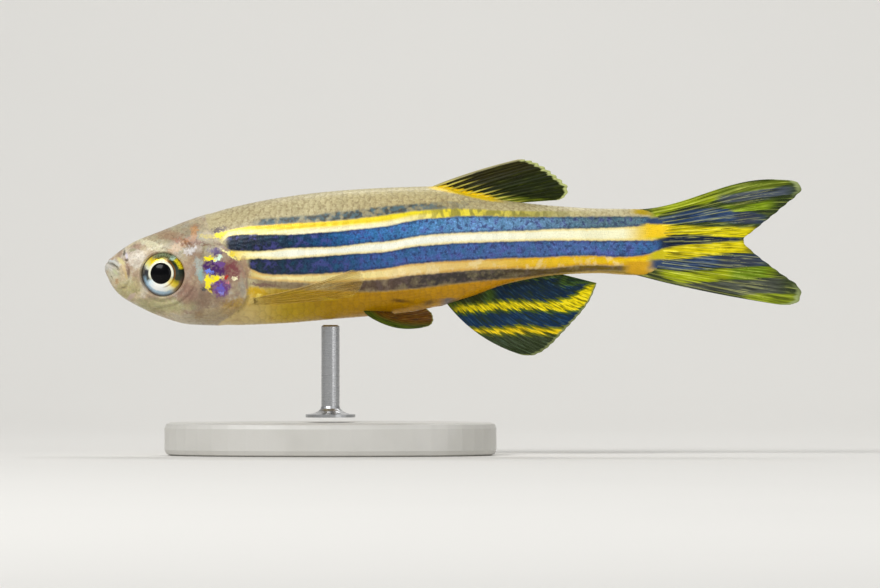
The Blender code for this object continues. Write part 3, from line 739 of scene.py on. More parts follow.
# Spans that the curves of edges are drawn over, in millimetres of the side view, and the factors that take
# the distance to the side out of a place.
Z_LOW, Z_SPAN = -6.0, 13.0
COVER_SPAN = 10.0
FLAT = (1.0, 0.0, 1.0)


def shape_curve(node, places):
    """Draws a float curve through places that run from 0 to 1."""
    points = node.mapping.curves[0].points
    for _ in range(len(places) - 2):
        points.new(0.5, 0.5)
    for point, place in zip(points, places):
        point.location = place
    node.mapping.update()


def edge_height(w, x, knots):
    """Height at x of the line through the knots, all in millimetres of the side view."""
    node = w.add("ShaderNodeFloatCurve", {1: w.over(x, TOTAL_LENGTH)})
    shape_curve(node, [(px / TOTAL_LENGTH, (pz - Z_LOW) / Z_SPAN) for px, pz in knots])
    return w.math("MULTIPLY_ADD", node.outputs[0], Z_SPAN, Z_LOW)


def under(w, z, height, softness):
    """Mask of what lies under a height, with a soft edge."""
    gap = w.minus(height, z)
    return w.between(gap, -softness, softness)


def side_view_place(w, position):
    """A position in metres as a place of the side view in millimetres, and the place's x and z."""
    place = w.vector("MULTIPLY", position, (1 / MM, 1 / MM, 1 / MM))
    place = w.vector("ADD", place, (TOTAL_LENGTH / 2, 0, -SNOUT_HEIGHT))
    x, _, z = w.split(place)
    return place, x, z


# Markings of the skin and the scales


def cover_edge_curve(w, z):
    """Where the edge of the head lies at the height z, in millimetres."""
    node = w.add("ShaderNodeFloatCurve", {1: w.over(w.minus(z, Z_LOW), Z_SPAN)})
    shape_curve(node, sorted(((pz - Z_LOW) / Z_SPAN, px / COVER_SPAN) for px, pz in COVER_EDGE))
    return w.times(node.outputs[0], COVER_SPAN)


def lay_bands(w, x, z, colour, opacity, bands, soft, wear=1.0, border=None):
    """Lays bands over a colour and an opacity, with soft edges and ends.

    wear is the share of a band's strength that is left. A border has its own colour where one is given.
    """
    for upper, lower, tint, strength in bands:
        above = under(w, z, edge_height(w, x, lower), soft)
        mask = w.times(under(w, z, edge_height(w, x, upper), soft), w.minus(1.0, above))
        first, last = upper[0][0], upper[-1][0]
        mask = w.times(mask, w.between(x, first - 0.4, first + 0.4))
        mask = w.times(mask, w.between(x, last - 0.6, last + 0.6, 1.0, 0.0))
        mask = w.times(mask, wear)
        colour = w.blend(mask, colour, tint)
        if border:
            half_way = w.times(w.times(mask, w.minus(1.0, mask)), 3.2)
            colour = w.blend(half_way, colour, border)
        mixed = w.add("ShaderNodeMix", {0: mask, 2: opacity, 3: strength}, data_type="FLOAT")
        opacity = mixed.outputs[0]
    return colour, opacity


def sway(w, place, scale, width):
    """A small move in the side view that changes with the place, as noise of this scale and width."""
    noise = w.noise(place, scale, 2.0, 0.6, output="Color")
    parts = w.add("ShaderNodeSeparateColor", {"Color": noise}).outputs
    moves = [w.math("MULTIPLY_ADD", part, width, -width / 2) for part in (parts["Red"], parts["Blue"])]
    return w.combine(moves[0], 0.0, moves[1])


def lay_spots(w, place, colour, spots, wear):
    """Lays spots over a colour, each an ellipse with a soft rim. wear is the share of strength left."""
    for sx, sz, half_length, half_height, turn, tint, soft, strength in spots:
        cos, sin = math.cos(math.radians(turn)), math.sin(math.radians(turn))
        offset = w.vector("SUBTRACT", place, (sx, 0.0, sz))
        lengthways = w.vector("DOT_PRODUCT", offset, (cos / half_length, 0.0, sin / half_length))
        across = w.vector("DOT_PRODUCT", offset, (-sin / half_height, 0.0, cos / half_height))
        reach = w.math("MULTIPLY_ADD", across, across, w.times(lengthways, lengthways))
        mask = w.between(reach, (1.0 - soft) ** 2, (1.0 + soft) ** 2, strength, 0.0)
        colour = w.blend(w.times(mask, wear), colour, tint)
    return colour


class SideView:
    """A place in the side view inside a node group, with the noises that its markings share.

    Its x and its soft_z are moved a little by noise, so that the edges laid by them wander.
    """

    def __init__(self, w, position):
        place, x, z = side_view_place(w, position)
        wobble = w.math("MULTIPLY_ADD", w.noise(place, 3.6, 3.0), 0.14, -0.07)
        self.w, self.place, self.z = w, place, z
        self.x, self.soft_z = w.plus(x, wobble), w.plus(z, wobble)
        self.share = w.over(self.x, BODY_END)
        self.grain = w.noise(place, 8.5, 2.0, 0.6)
        self.coarse = w.noise(place, 1.4, 3.0, 0.6)

    def stripe(self, top, bottom, start, end, softness=0.07):
        """Mask between two edges, faded in over start and out over end, and the stripe's border."""
        w, x, z = self.w, self.x, self.soft_z
        top, bottom = edge_height(w, x, top), edge_height(w, x, bottom)
        mask = w.times(under(w, z, top, softness), w.minus(1.0, under(w, z, bottom, softness)))
        mask = w.times(mask, w.between(x, *start))
        mask = w.times(mask, w.between(x, *end, 1.0, 0.0))
        inner = w.math("MINIMUM", w.minus(top, z), w.minus(z, bottom))
        return mask, w.between(inner, 0.02, 0.20, 1.0, 0.0)


def back_colour(view, scale_edge):
    """Olive beige with dark and pale specks, netted along the scales' edges and paler on the ridge."""
    w = view.w
    net = w.between(w.math("MULTIPLY_ADD", view.grain, 0.7, scale_edge), 0.80, 1.25)
    specks = w.noise(view.place, 8.0, 2.0, 0.6)
    back = w.ramp(view.share, BACK_COLOURS)
    back = w.blend(w.between(view.coarse, 0.42, 0.7, 0.0, 0.45), back, srgb(172, 158, 116))
    back = w.blend(w.times(net, w.between(specks, 0.40, 0.60, 0.18, 0.62)), back, srgb(148, 128, 92))
    back = w.blend(w.between(specks, 0.54, 0.66, 0.0, 0.24), back, srgb(130, 114, 84))
    back = w.blend(w.between(specks, 0.44, 0.34, 0.0, 0.35), back, srgb(222, 214, 172))
    ridge = w.between(view.z, 4.0, 5.0)
    return w.blend(w.times(ridge, 0.35), back, srgb(206, 200, 152))


def belly_colour(view, scale_edge):
    """Ochre, mottled, pale on the breast."""
    w = view.w
    belly = w.ramp(view.share, BELLY_COLOURS)
    belly = w.blend(w.between(view.coarse, 0.52, 0.72, 0.0, 0.35), belly, srgb(206, 160, 40))
    belly = w.blend(w.between(view.coarse, 0.46, 0.32, 0.0, 0.35), belly, srgb(156, 108, 20))
    dark_net = w.times(w.between(scale_edge, 0.6, 1.0), 0.20)
    belly = w.blend(dark_net, belly, srgb(120, 84, 20))
    breast = w.times(w.between(view.z, -1.6, -3.2), w.between(view.x, 10.5, 8.5))
    return w.blend(w.times(breast, 0.35), belly, srgb(214, 196, 156))


def lay_dark_stripe(view, colour):
    """The lowest stripe, faint behind the gill cover and blotched further back, and the pale underline."""
    w, x = view.w, view.x
    dark, _ = view.stripe(DARK_TOP, BELLY_TOP, (12.8, 15.0), (31.4, 33.0), 0.10)
    faint, _ = view.stripe(DARK_TOP, BELLY_TOP, (8.6, 9.6), (11.6, 13.4), 0.10)
    blotches = w.between(view.coarse, 0.32, 0.55, 0.70, 1.0)
    pale = w.between(w.noise(view.place, 3.2, 3.0, 0.6), 0.46, 0.64, 0.0, 0.38)
    dark_colour = w.blend(pale, w.ramp(view.share, DARK_COLOURS), srgb(112, 94, 92))
    colour = w.blend(w.times(faint, 0.65), colour, srgb(116, 92, 72))
    colour = w.blend(w.times(dark, blotches), colour, dark_colour)
    belly_line = [(sx, low) for sx, _, low, _ in BODY_SECTIONS[7:-5]]
    over_belly = w.minus(view.soft_z, edge_height(w, x, belly_line))
    underline = w.times(w.between(over_belly, 0.06, 0.16, 0.8, 0.0), w.between(x, 22.0, 26.0))
    return w.blend(underline, colour, srgb(216, 184, 104))


def lay_lower_gold(view, colour):
    """The gold line under the lower blue, orange at its borders, with pale patches."""
    w = view.w
    mask, border = view.stripe(LOWER_GOLD_TOP, DARK_TOP, (8.3, 9.2), (32.6, 33.4))
    gold = w.blend(w.times(border, 0.60), w.ramp(view.share, LOWER_GOLD_COLOURS), srgb(206, 142, 34))
    gold = w.blend(w.between(view.coarse, 0.50, 0.66, 0.0, 0.45), gold, srgb(255, 240, 190))
    return w.blend(mask, colour, gold), mask


def lay_blue(view, colour, stripe, stops):
    """A blue stripe of bright grains, on a ground that shifts to teal and to violet in places."""
    w = view.w
    mask, border = stripe
    ground = w.ramp(view.share, stops)
    light_stops = [(at, tuple(min(c * 1.6 + 0.01, 1.0) for c in tint)) for at, tint in stops]
    light = w.ramp(view.share, light_stops)
    hue = w.noise(view.place, 2.1, 2.0, 0.6)
    teal = w.times(w.between(hue, 0.52, 0.68, 0.0, 0.40), w.between(view.x, 9.0, 13.0, 0.3, 1.0))
    ground = w.blend(teal, ground, srgb(38, 104, 128))
    ground = w.blend(w.between(hue, 0.50, 0.38, 0.0, 0.48), ground, srgb(94, 90, 172))
    tint = w.blend(w.between(view.grain, 0.52, 0.70, 0.0, 0.75), ground, light)
    gaps = w.between(w.noise(view.place, 4.2, 2.0, 0.6), 0.36, 0.50, 0.55, 0.0)
    tint = w.blend(gaps, tint, srgb(24, 40, 66))
    tint = w.blend(w.times(border, 0.45), tint, srgb(26, 34, 44))
    return w.blend(mask, colour, tint), mask


def lay_cream(view, colour):
    """The cream line between the two blues, yellow at its borders."""
    w = view.w
    mask, border = view.stripe(CREAM_TOP, LOWER_BLUE_TOP, (7.3, 7.9), (32.9, 33.5))
    cream = w.blend(w.times(border, 0.55), w.ramp(view.share, CREAM_COLOURS), srgb(244, 212, 84))
    cream = w.blend(w.between(view.grain, 0.58, 0.72, 0.0, 0.2), cream, srgb(232, 190, 120))
    return w.blend(mask, colour, cream), mask


def lay_upper_gold(view, colour):
    """The gold line over the upper blue: pale in its lower half in front, broken into beads behind."""
    w, x = view.w, view.x
    mask, _ = view.stripe(GOLD_TOP, UPPER_BLUE_TOP, (6.9, 7.5), (25.0, 31.0), 0.07)
    over_blue = w.minus(view.z, edge_height(w, x, UPPER_BLUE_TOP))
    low_half = w.times(w.between(over_blue, 0.14, 0.40, 1.0, 0.0), w.between(x, 17.0, 21.0, 1.0, 0.0))
    pale = w.blend(w.between(x, 9.0, 12.0), srgb(244, 230, 150), srgb(250, 242, 196))
    gold = w.blend(low_half, w.ramp(view.share, GOLD_COLOURS), pale)
    beads = w.noise(w.vector("MULTIPLY", view.place, (1.0, 0.0, 0.55)), 2.5, 1.0)
    beads = w.times(w.between(beads, 0.56, 0.44, 0.0, 0.80), w.between(x, 17.5, 21.0))
    gold = w.blend(beads, gold, srgb(142, 136, 66))
    gold = w.blend(w.between(view.grain, 0.58, 0.72, 0.0, 0.25), gold, srgb(214, 150, 20))
    return w.blend(mask, colour, gold), mask


def lay_broken_line(view, colour):
    """The dark line on the back over the gold one."""
    w = view.w
    mask, _ = view.stripe(BROKEN_LINE_TOP, GOLD_TOP, (8.6, 9.8), (18.5, 23.5), 0.10)
    broken = w.between(w.noise(view.place, 2.4, 1.0), 0.36, 0.54, 0.45, 1.0)
    patches = w.between(w.noise(view.place, 4.0, 2.0, 0.6), 0.40, 0.60)
    return w.blend(w.times(mask, broken), colour, w.blend(patches, srgb(74, 76, 70), srgb(84, 108, 114)))


def head_colour(view, ragged, patchy):
    """Mottled beige of the head, with veins, dots, the spots of head and gill cover, and the face."""
    w, place = view.w, view.place
    patches = w.noise(place, 0.9, 4.0, 0.65)
    colour = w.blend(w.between(patches, 0.38, 0.62), srgb(206, 190, 154), srgb(172, 146, 124))
    colour = w.blend(w.between(view.coarse, 0.50, 0.66, 0.0, 0.55), colour, srgb(212, 208, 192))
    colour = w.blend(w.between(view.coarse, 0.46, 0.34, 0.0, 0.45), colour, srgb(140, 134, 112))
    colour = lay_spots(w, ragged, colour, HEAD_SPOTS, patchy)
    colour = w.lit(colour, w.between(w.noise(place, 4.5, 3.0, 0.65), 0.36, 0.64, 0.90, 1.09))
    veins = w.math("ABSOLUTE", w.minus(w.noise(place, 1.5, 3.0, 0.6), 0.5))
    colour = w.blend(w.between(veins, 0.0, 0.03, 0.24, 0.0), colour, srgb(150, 108, 84))
    dots = w.times(w.between(view.grain, 0.60, 0.68), w.between(view.z, -0.5, 2.2, 0.06, 0.50))
    colour = w.blend(dots, colour, srgb(92, 80, 60))
    colour = w.lit(colour, w.between(view.x, 4.2, 5.6, 1.0, 0.78))
    colour = lay_spots(w, ragged, colour, GILL_SPOTS, patchy)
    face_place = w.vector("ADD", w.vector("MULTIPLY", place, FLAT), sway(w, place, 7.0, 0.14))
    return lay_spots(w, face_place, colour, FACE_MARKS, 1.0)


def markings_group():
    """Colour, shine and speckle of the skin and the scales by their place on the fish."""
    tree, w, given, result = new_group(
        "danio_markings",
        [("Position", "Vector"), ("Scale Edge", "Float")],
        [("Color", "Color"), ("Shine", "Float"), ("Speckle", "Float")],
    )
    view = SideView(w, given["Position"])
    x, place, scale_edge = view.x, view.place, given["Scale Edge"]
    back, belly = back_colour(view, scale_edge), belly_colour(view, scale_edge)
    colour = w.blend(under(w, view.soft_z, edge_height(w, x, BELLY_TOP), 0.12), back, belly)
    colour = w.blend(w.between(x, 32.7, 33.5), colour, srgb(128, 124, 44))

    colour = lay_dark_stripe(view, colour)
    colour, lower_gold = lay_lower_gold(view, colour)
    lower_stripe = view.stripe(LOWER_BLUE_TOP, LOWER_GOLD_TOP, (8.5, 8.9), (33.5, 33.9))
    colour, lower_blue = lay_blue(view, colour, lower_stripe, LOWER_BLUE_COLOURS)
    colour, cream = lay_cream(view, colour)
    upper_stripe = view.stripe(UPPER_BLUE_TOP, CREAM_TOP, (7.05, 7.60), (32.6, 33.3))
    colour, upper_blue = lay_blue(view, colour, upper_stripe, UPPER_BLUE_COLOURS)
    colour, gold = lay_upper_gold(view, colour)
    colour = lay_broken_line(view, colour)

    colour, _ = lay_bands(w, x, view.soft_z, colour, 1.0, BODY_MARKS, 0.08)
    tail_colour, _ = lay_bands(w, x, view.soft_z, colour, 1.0, TAIL_BANDS, 0.10)
    colour = w.blend(w.between(x, 32.0, 32.9), colour, tail_colour)

    wide_and_fine = w.vector("ADD", sway(w, place, 1.9, 0.50), sway(w, place, 7.0, 0.50))
    ragged = w.vector("ADD", w.vector("MULTIPLY", place, FLAT), wide_and_fine)
    patchy = w.between(w.noise(place, 5.5, 3.0, 0.6), 0.36, 0.54, 0.62, 1.0)
    head = head_colour(view, ragged, patchy)
    on_head = w.between(w.minus(x, cover_edge_curve(w, view.z)), -0.10, 0.10, 1.0, 0.0)
    colour = w.blend(on_head, colour, head)
    colour = lay_spots(w, ragged, colour, BODY_SPOTS, patchy)

    bright = w.math("MAXIMUM", w.math("MAXIMUM", cream, gold), w.times(lower_gold, 0.7))
    blues = w.math("MAXIMUM", upper_blue, lower_blue)
    shine = w.math("MAXIMUM", w.times(bright, 0.15), w.times(blues, 0.35))
    w.feed(result["Color"], colour)
    w.feed(result["Shine"], w.times(shine, w.minus(1.0, on_head)))
    w.feed(result["Speckle"], view.grain)
    return tree


# Materials of the body


def new_material(name, **constants):
    """A material with its wiring and shader. Constants are set on the shader's own sockets."""
    material = bpy.data.materials.new(name)
    material.use_nodes = True
    w = Wiring(material.node_tree)
    shader = material.node_tree.nodes["Principled BSDF"]
    for label, value in constants.items():
        w.feed(shader.inputs[label.replace("_", " ")], value)
    return material, w, shader


def object_place(w):
    """The place in the object's own coordinates, in metres."""
    return w.add("ShaderNodeTexCoord").outputs["Object"]


def attribute(w, name):
    """The number that the mesh keeps under this name."""
    return w.add("ShaderNodeAttribute", attribute_name=name).outputs["Fac"]


def skin_material(markings):
    """Smooth, faintly grained skin with the fish's markings."""
    material, w, shader = new_material("danio_skin", Coat_Weight=0.20, Coat_Roughness=0.18, IOR=1.30)
    place = object_place(w)
    marks = w.add("ShaderNodeGroup", {}, node_tree=markings)
    w.feed(marks.inputs["Position"], place)
    w.feed(shader.inputs["Base Color"], marks.outputs["Color"])
    w.feed(shader.inputs["Metallic"], marks.outputs["Shine"])
    w.feed(shader.inputs["Roughness"], w.between(marks.outputs["Speckle"], 0.3, 0.7, 0.30, 0.48))
    height = w.noise(place, 4200.0, 3.0, 0.6)
    bump = w.add("ShaderNodeBump", {"Strength": 0.18, "Distance": 0.00006, "Height": height})
    w.feed(shader.inputs["Normal"], bump.outputs[0])
    return material


def scale_material(markings):
    """Scales with the fish's markings and a tone of their own, with grooves that fan out and rings."""
    material, w, shader = new_material("danio_scales", Coat_Weight=0.12, Coat_Roughness=0.20, IOR=1.26)
    place = object_place(w)
    back, across = attribute(w, "scale_back"), attribute(w, "scale_across")
    rim = w.math("MAXIMUM", w.math("ABSOLUTE", across), back)
    rim = w.times(rim, w.between(attribute(w, "root_coat"), 0.15, 0.75))
    marks = w.add("ShaderNodeGroup", {}, node_tree=markings)
    w.feed(marks.inputs["Position"], place)
    w.feed(marks.inputs["Scale Edge"], rim)
    tone = w.math("MULTIPLY_ADD", attribute(w, "scale_tone"), 0.12, 0.94)
    w.feed(shader.inputs["Base Color"], w.lit(marks.outputs["Color"], tone))
    w.feed(shader.inputs["Metallic"], marks.outputs["Shine"])
    w.feed(shader.inputs["Roughness"], w.between(marks.outputs["Speckle"], 0.3, 0.7, 0.24, 0.42))
    grooves = w.math("SINE", w.times(w.over(across, w.plus(back, 1.6)), 34.0))
    rings = w.math("SINE", w.times(w.plus(back, w.times(across, across)), 26.0))
    height = w.plus(w.times(grooves, 0.6), w.times(rings, 0.4))
    bump = w.add("ShaderNodeBump", {"Strength": 0.30, "Distance": 0.000015, "Height": height})
    w.feed(shader.inputs["Normal"], bump.outputs[0])
    return material


# Skin and scales


class DanioBodySettings(bpy.types.PropertyGroup):
    rings: IntProperty(name="Rings", description="Rings of the skin along the body", default=320, min=60)
    sides: IntProperty(name="Sides", description="Points round each ring", default=208, min=24)
    coat_depth: FloatProperty(
        name="Coat Depth",
        description="How far the skin lies under the outer surface where scales cover it",
        default=0.00005,
        min=0.0,
        unit="LENGTH",
        precision=6,
    )
    cover_rise: FloatProperty(
        name="Gill Cover Rise",
        description="How far the rear edge of a gill cover stands out",
        default=0.00010,
        min=0.0,
        unit="LENGTH",
        precision=6,
    )


class DanioScaleSettings(bpy.types.PropertyGroup):
    in_row: IntProperty(
        name="Scales in a Row", description="Scales from the head to the tail", default=42, min=8
    )
    rows: IntProperty(name="Rows", description="Rows of scales round the body", default=40, min=8)
    overlap: FloatProperty(
        name="Overlap",
        description="Length of a scale over its visible part",
        default=1.55,
        min=1.0,
        max=2.5,
        subtype="FACTOR",
    )
    lift: FloatProperty(
        name="Lift",
        description="Height of a scale's rear edge over the skin",
        default=0.000018,
        min=0.0,
        unit="LENGTH",
        precision=6,
    )
    seed: IntProperty(
        name="Seed", description="Seed of the small differences among scales", default=7, min=0
    )


def make_skin(settings):
    """One closed surface over head, gill covers, trunk and tail stem, closest rings on the head."""
    share = np.linspace(0, 1, settings.rings)
    speed = HEAD_CROWDING * HEAD_END / HEAD_SHARE
    tail_share = 1 - HEAD_SHARE
    gain = (BODY_END - HEAD_END - speed * tail_share) / tail_share**2
    on_head = HEAD_END * (np.minimum(share, HEAD_SHARE) / HEAD_SHARE) ** HEAD_CROWDING
    t = np.maximum(share - HEAD_SHARE, 0)
    ring_x = np.where(share < HEAD_SHARE, on_head, HEAD_END + speed * t + gain * t**2)
    ring_x[0] = 0.0008
    angle = (np.arange(settings.sides) / settings.sides - 0.5) * 2 * np.pi

    x, turn = np.meshgrid(ring_x, angle, indexing="ij")
    top, bottom, half_width = (v.reshape(x.shape) for v in section(x.ravel()))
    power = 2 / SECTION_POWER
    c, s = np.cos(turn), np.sin(turn)
    z = (top + bottom) / 2 + (top - bottom) / 2 * np.sign(c) * np.abs(c) ** power
    y = half_width * np.sign(s) * np.abs(s) ** power
    points = np.stack([x, y, z], -1)

    forward = np.gradient(points, axis=0)
    round_ring = np.roll(points, -1, axis=1) - np.roll(points, 1, axis=1)
    normal = np.cross(round_ring, forward)
    normal /= np.maximum(np.linalg.norm(normal, axis=-1, keepdims=True), 1e-9)
    outward = np.stack([np.zeros_like(c), s, c], -1)
    normal *= np.sign((normal * outward).sum(-1, keepdims=True))

    behind = behind_cover(x, z)
    scaled = smooth_step(0.0, 0.5, behind)
    relief = head_relief(x, y, z, settings.cover_rise / MM) * (1 - smooth_step(9.5, 11.0, x))
    relief *= smooth_step(0.0, 0.12, x)
    relief += fin_bases(x, y, z)
    relief -= scaled * settings.coat_depth / MM
    points = points + normal * relief[..., None]
    points[-1, :, 1] = 0.0
    points[:, 0, 1] = 0.0

    uv = (ring_x / BODY_END, np.arange(settings.sides + 1) / settings.sides)
    mesh = sheet_mesh("skin", metres(points), uv, wrap=True)
    coat = scaled * smooth_step(0.0, 0.8, behind) * (1 - 0.4 * smooth_step(22.0, 30.0, x))
    coat *= 1 - 0.85 * smooth_step(31.6, 33.4, x)
    store(mesh, "coat", coat)
    weld(mesh, close=True)
    return new_object("skin", mesh)


def scale_shape():
    """One scale as a thin closed shell, 2 long and 2 wide, its front end low and its rear edge raised.

    Its heights are in metres, 1 thousandth for the free edge, so that the layout can scale them.
    """
    steps = 6
    bm = bmesh.new()
    back = bm.verts.layers.float.new("scale_back")
    across = bm.verts.layers.float.new("scale_across")
    rows = {}
    for face_up in (True, False):
        for i in range(steps):
            for j in range(steps):
                a, b = 2 * i / (steps - 1) - 1, 2 * j / (steps - 1) - 1
                reach = a * math.sqrt(1 - 0.42 * b * b) if a > 0 else a * (1 - 0.25 * b * b)
                width = b * (1 - 0.16 * max(a, 0) ** 2) * (1 - 0.30 * max(-a, 0) ** 2)
                height = 0.28 + 0.72 * a + 0.14 * (1 - b * b) * (1 - abs(a) * 0.5)
                thick = 0.0 if face_up else 0.34 * (0.45 + 0.55 * (a + 1) / 2)
                vert = bm.verts.new((reach, width, (height - thick) * MM))
                vert[back] = a
                vert[across] = b
                rows[face_up, i, j] = vert
    for face_up in (True, False):
        for i in range(steps - 1):
            for j in range(steps - 1):
                quad = [rows[face_up, i + di, j + dj] for di, dj in ((0, 0), (1, 0), (1, 1), (0, 1))]
                bm.faces.new(quad if face_up else quad[::-1])
    border = [(0, j) for j in range(steps)] + [(i, steps - 1) for i in range(1, steps)]
    border += [(steps - 1, j) for j in range(steps - 2, -1, -1)] + [(i, 0) for i in range(steps - 2, 0, -1)]
    for a, b in zip(border, border[1:] + border[:1]):
        bm.faces.new((rows[True, *a], rows[False, *a], rows[False, *b], rows[True, *b]))
        bm.edges.get((rows[True, *a], rows[True, *b])).smooth = False
    bmesh.ops.recalc_face_normals(bm, faces=bm.faces)
    mesh = bpy.data.meshes.new("scale_shape")
    bm.to_mesh(mesh)
    bm.free()
    return new_object("scale_shape", mesh)


def layout_group(name, sockets):
    """A tree that makes geometry, with its wiring and the sockets inside it by name."""
    return new_group(name, sockets, [("Geometry", "Geometry")], "GeometryNodeTree")


def sample_surface(w, surface, value, place, kind="FLOAT_VECTOR"):
    """A value of a surface where its map "lie" has the place."""
    lie = named(w, "lie", "FLOAT_VECTOR")
    inputs = {"Mesh": surface, "Value": value, "UV Map": lie, "Sample UV": place}
    return w.add("GeometryNodeSampleUVSurface", inputs, data_type=kind).outputs["Value"]


def keep(w, geometry, name, value, kind="FLOAT", domain="POINT"):
    """The geometry with a value kept under a name."""
    inputs = {"Geometry": geometry, "Name": name, "Value": value}
    node = w.add("GeometryNodeStoreNamedAttribute", inputs, data_type=kind, domain=domain)
    return node.outputs[0]


def named(w, name, kind="FLOAT"):
    """The value that the geometry keeps under this name."""
    return w.add("GeometryNodeInputNamedAttribute", {"Name": name}, data_type=kind).outputs["Attribute"]


def scale_layout():
    """Staggered rows of scales, set out flat on the skin's map and then laid on its surface."""
    sockets = [
        ("Geometry", "Geometry"), ("Skin", "Object"), ("Scale", "Object"), ("In Row", "Int"),
        ("Rows", "Int"), ("First Place", "Float"), ("Last Place", "Float"), ("Side Start", "Float"),
        ("Overlap", "Float"), ("Lift", "Float"), ("Seed", "Int"), ("Material", "Material"),
    ]
    tree, w, given, result = layout_group("scale_layout", sockets)
    skin = w.add("GeometryNodeObjectInfo", {"Object": given["Skin"]}).outputs["Geometry"]
    shape = w.add("GeometryNodeObjectInfo", {"Object": given["Scale"]}).outputs["Geometry"]
    columns = w.times(given["In Row"], 2.0)
    side_rows = w.over(given["Rows"], 4.0)
    count = w.times(columns, side_rows)
    points = w.add("GeometryNodePoints", {"Count": count}).outputs[0]

    index = w.add("GeometryNodeInputIndex").outputs[0]
    column = w.math("FLOOR", w.over(w.plus(index, 0.5), side_rows))
    row = w.minus(index, w.times(column, side_rows))
    odd = w.math("MODULO", column, 2.0)
    run = w.over(column, columns)
    span = w.minus(given["Last Place"], given["First Place"])
    u = w.math("MULTIPLY_ADD", run, span, given["First Place"])
    pitch_v = w.over(2.0, given["Rows"])
    v = w.plus(row, w.math("MULTIPLY_ADD", odd, 0.5, 0.25))
    v = w.math("MULTIPLY_ADD", v, pitch_v, given["Side Start"])

    def varied(low, high, offset):
        """A number of its own for each scale. Each offset gives another draw."""
        inputs = {2: low, 3: high, "ID": index, "Seed": w.plus(given["Seed"], offset)}
        return w.add("FunctionNodeRandomValue", inputs, data_type="FLOAT").outputs[1]

    u = w.plus(u, varied(-SCALE_STRAY[0], SCALE_STRAY[0], 0))
    v = w.plus(v, varied(-SCALE_STRAY[1], SCALE_STRAY[1], 1))
    root = w.combine(u, v)
    points = w.add("GeometryNodeSetPosition", {"Geometry": points, "Position": root}).outputs[0]
    points = keep(w, points, "root_place", root, "FLOAT_VECTOR")
    points = keep(w, points, "scale_tone", varied(0.0, 1.0, 2))
    coat = sample_surface(w, skin, named(w, "coat"), root, "FLOAT")
    points = keep(w, points, "root_coat", coat)
    bare = w.math("LESS_THAN", named(w, "root_coat"), THIN_COAT)
    points = w.add("GeometryNodeDeleteGeometry", {"Geometry": points, "Selection": bare}).outputs[0]

    pitch_u = w.over(span, given["In Row"])
    half_length = w.times(w.times(pitch_u, given["Overlap"]), 0.5)
    half_width = w.times(pitch_v, SCALE_WIDTH)
    lift = w.times(w.over(given["Lift"], MM), named(w, "root_coat"))
    size = w.combine(half_length, half_width, lift)
    inputs = {"Points": points, "Instance": shape, "Scale": size}
    scales = w.add("GeometryNodeInstanceOnPoints", inputs).outputs[0]
    scales = w.add("GeometryNodeRealizeInstances", {"Geometry": scales}).outputs[0]

    flat = w.add("GeometryNodeInputPosition").outputs[0]
    parts = w.split(flat)
    scales = keep(w, scales, "height", parts[2])
    u = w.math("MINIMUM", parts[0], MAP_END)
    wrapped = w.combine(u, w.math("FRACT", parts[1]))
    scales = keep(w, scales, "flat_place", wrapped, "FLOAT_VECTOR")
    wrapped = named(w, "flat_place", "FLOAT_VECTOR")
    surface_position = w.add("GeometryNodeInputPosition").outputs[0]
    surface_normal = w.add("GeometryNodeInputNormal").outputs[0]
    position = sample_surface(w, skin, surface_position, wrapped)
    normal = sample_surface(w, skin, surface_normal, wrapped)
    lifted = w.scaled(normal, named(w, "height"))
    place = w.vector("ADD", position, lifted)
    scales = w.add("GeometryNodeSetPosition", {"Geometry": scales, "Position": place}).outputs[0]

    local = w.combine(named(w, "scale_back"), named(w, "scale_across"))
    spread = w.vector("MULTIPLY", local, (PATCH_HALF, PATCH_HALF, 0))
    patch = w.vector("ADD", named(w, "root_place", "FLOAT_VECTOR"), spread)
    scales = keep(w, scales, "OFBake", patch, "FLOAT2", "CORNER")
    scales = w.add("GeometryNodeSetShadeSmooth", {"Geometry": scales}).outputs[0]
    inputs = {"Geometry": scales, "Material": given["Material"]}
    w.feed(result["Geometry"], w.add("GeometryNodeSetMaterial", inputs).outputs[0])
    return tree


def laid_out(name, tree, values):
    """The plain mesh that a layout tree makes with these values, as an object."""
    obj = new_object(name, bpy.data.meshes.new(name), smooth=False)
    modifier = obj.modifiers.new(tree.name, "NODES")
    modifier.node_group = tree
    for item in tree.interface.items_tree:
        if item.item_type == "SOCKET" and item.in_out == "INPUT" and item.name in values:
            modifier[item.identifier] = values[item.name]
    depsgraph = bpy.context.evaluated_depsgraph_get()
    evaluated = obj.evaluated_get(depsgraph)
    made = bpy.data.meshes.new_from_object(evaluated, preserve_all_data_layers=True, depsgraph=depsgraph)
    obj.modifiers.clear()
    obj.data = made
    made.name = name
    if len(made.polygons) == 0:
        raise RuntimeError(f"the layout {tree.name} made nothing for {name}")
    for passing in ("root_place", "height", "flat_place"):
        if passing in made.attributes:
            made.attributes.remove(made.attributes[passing])
    return obj


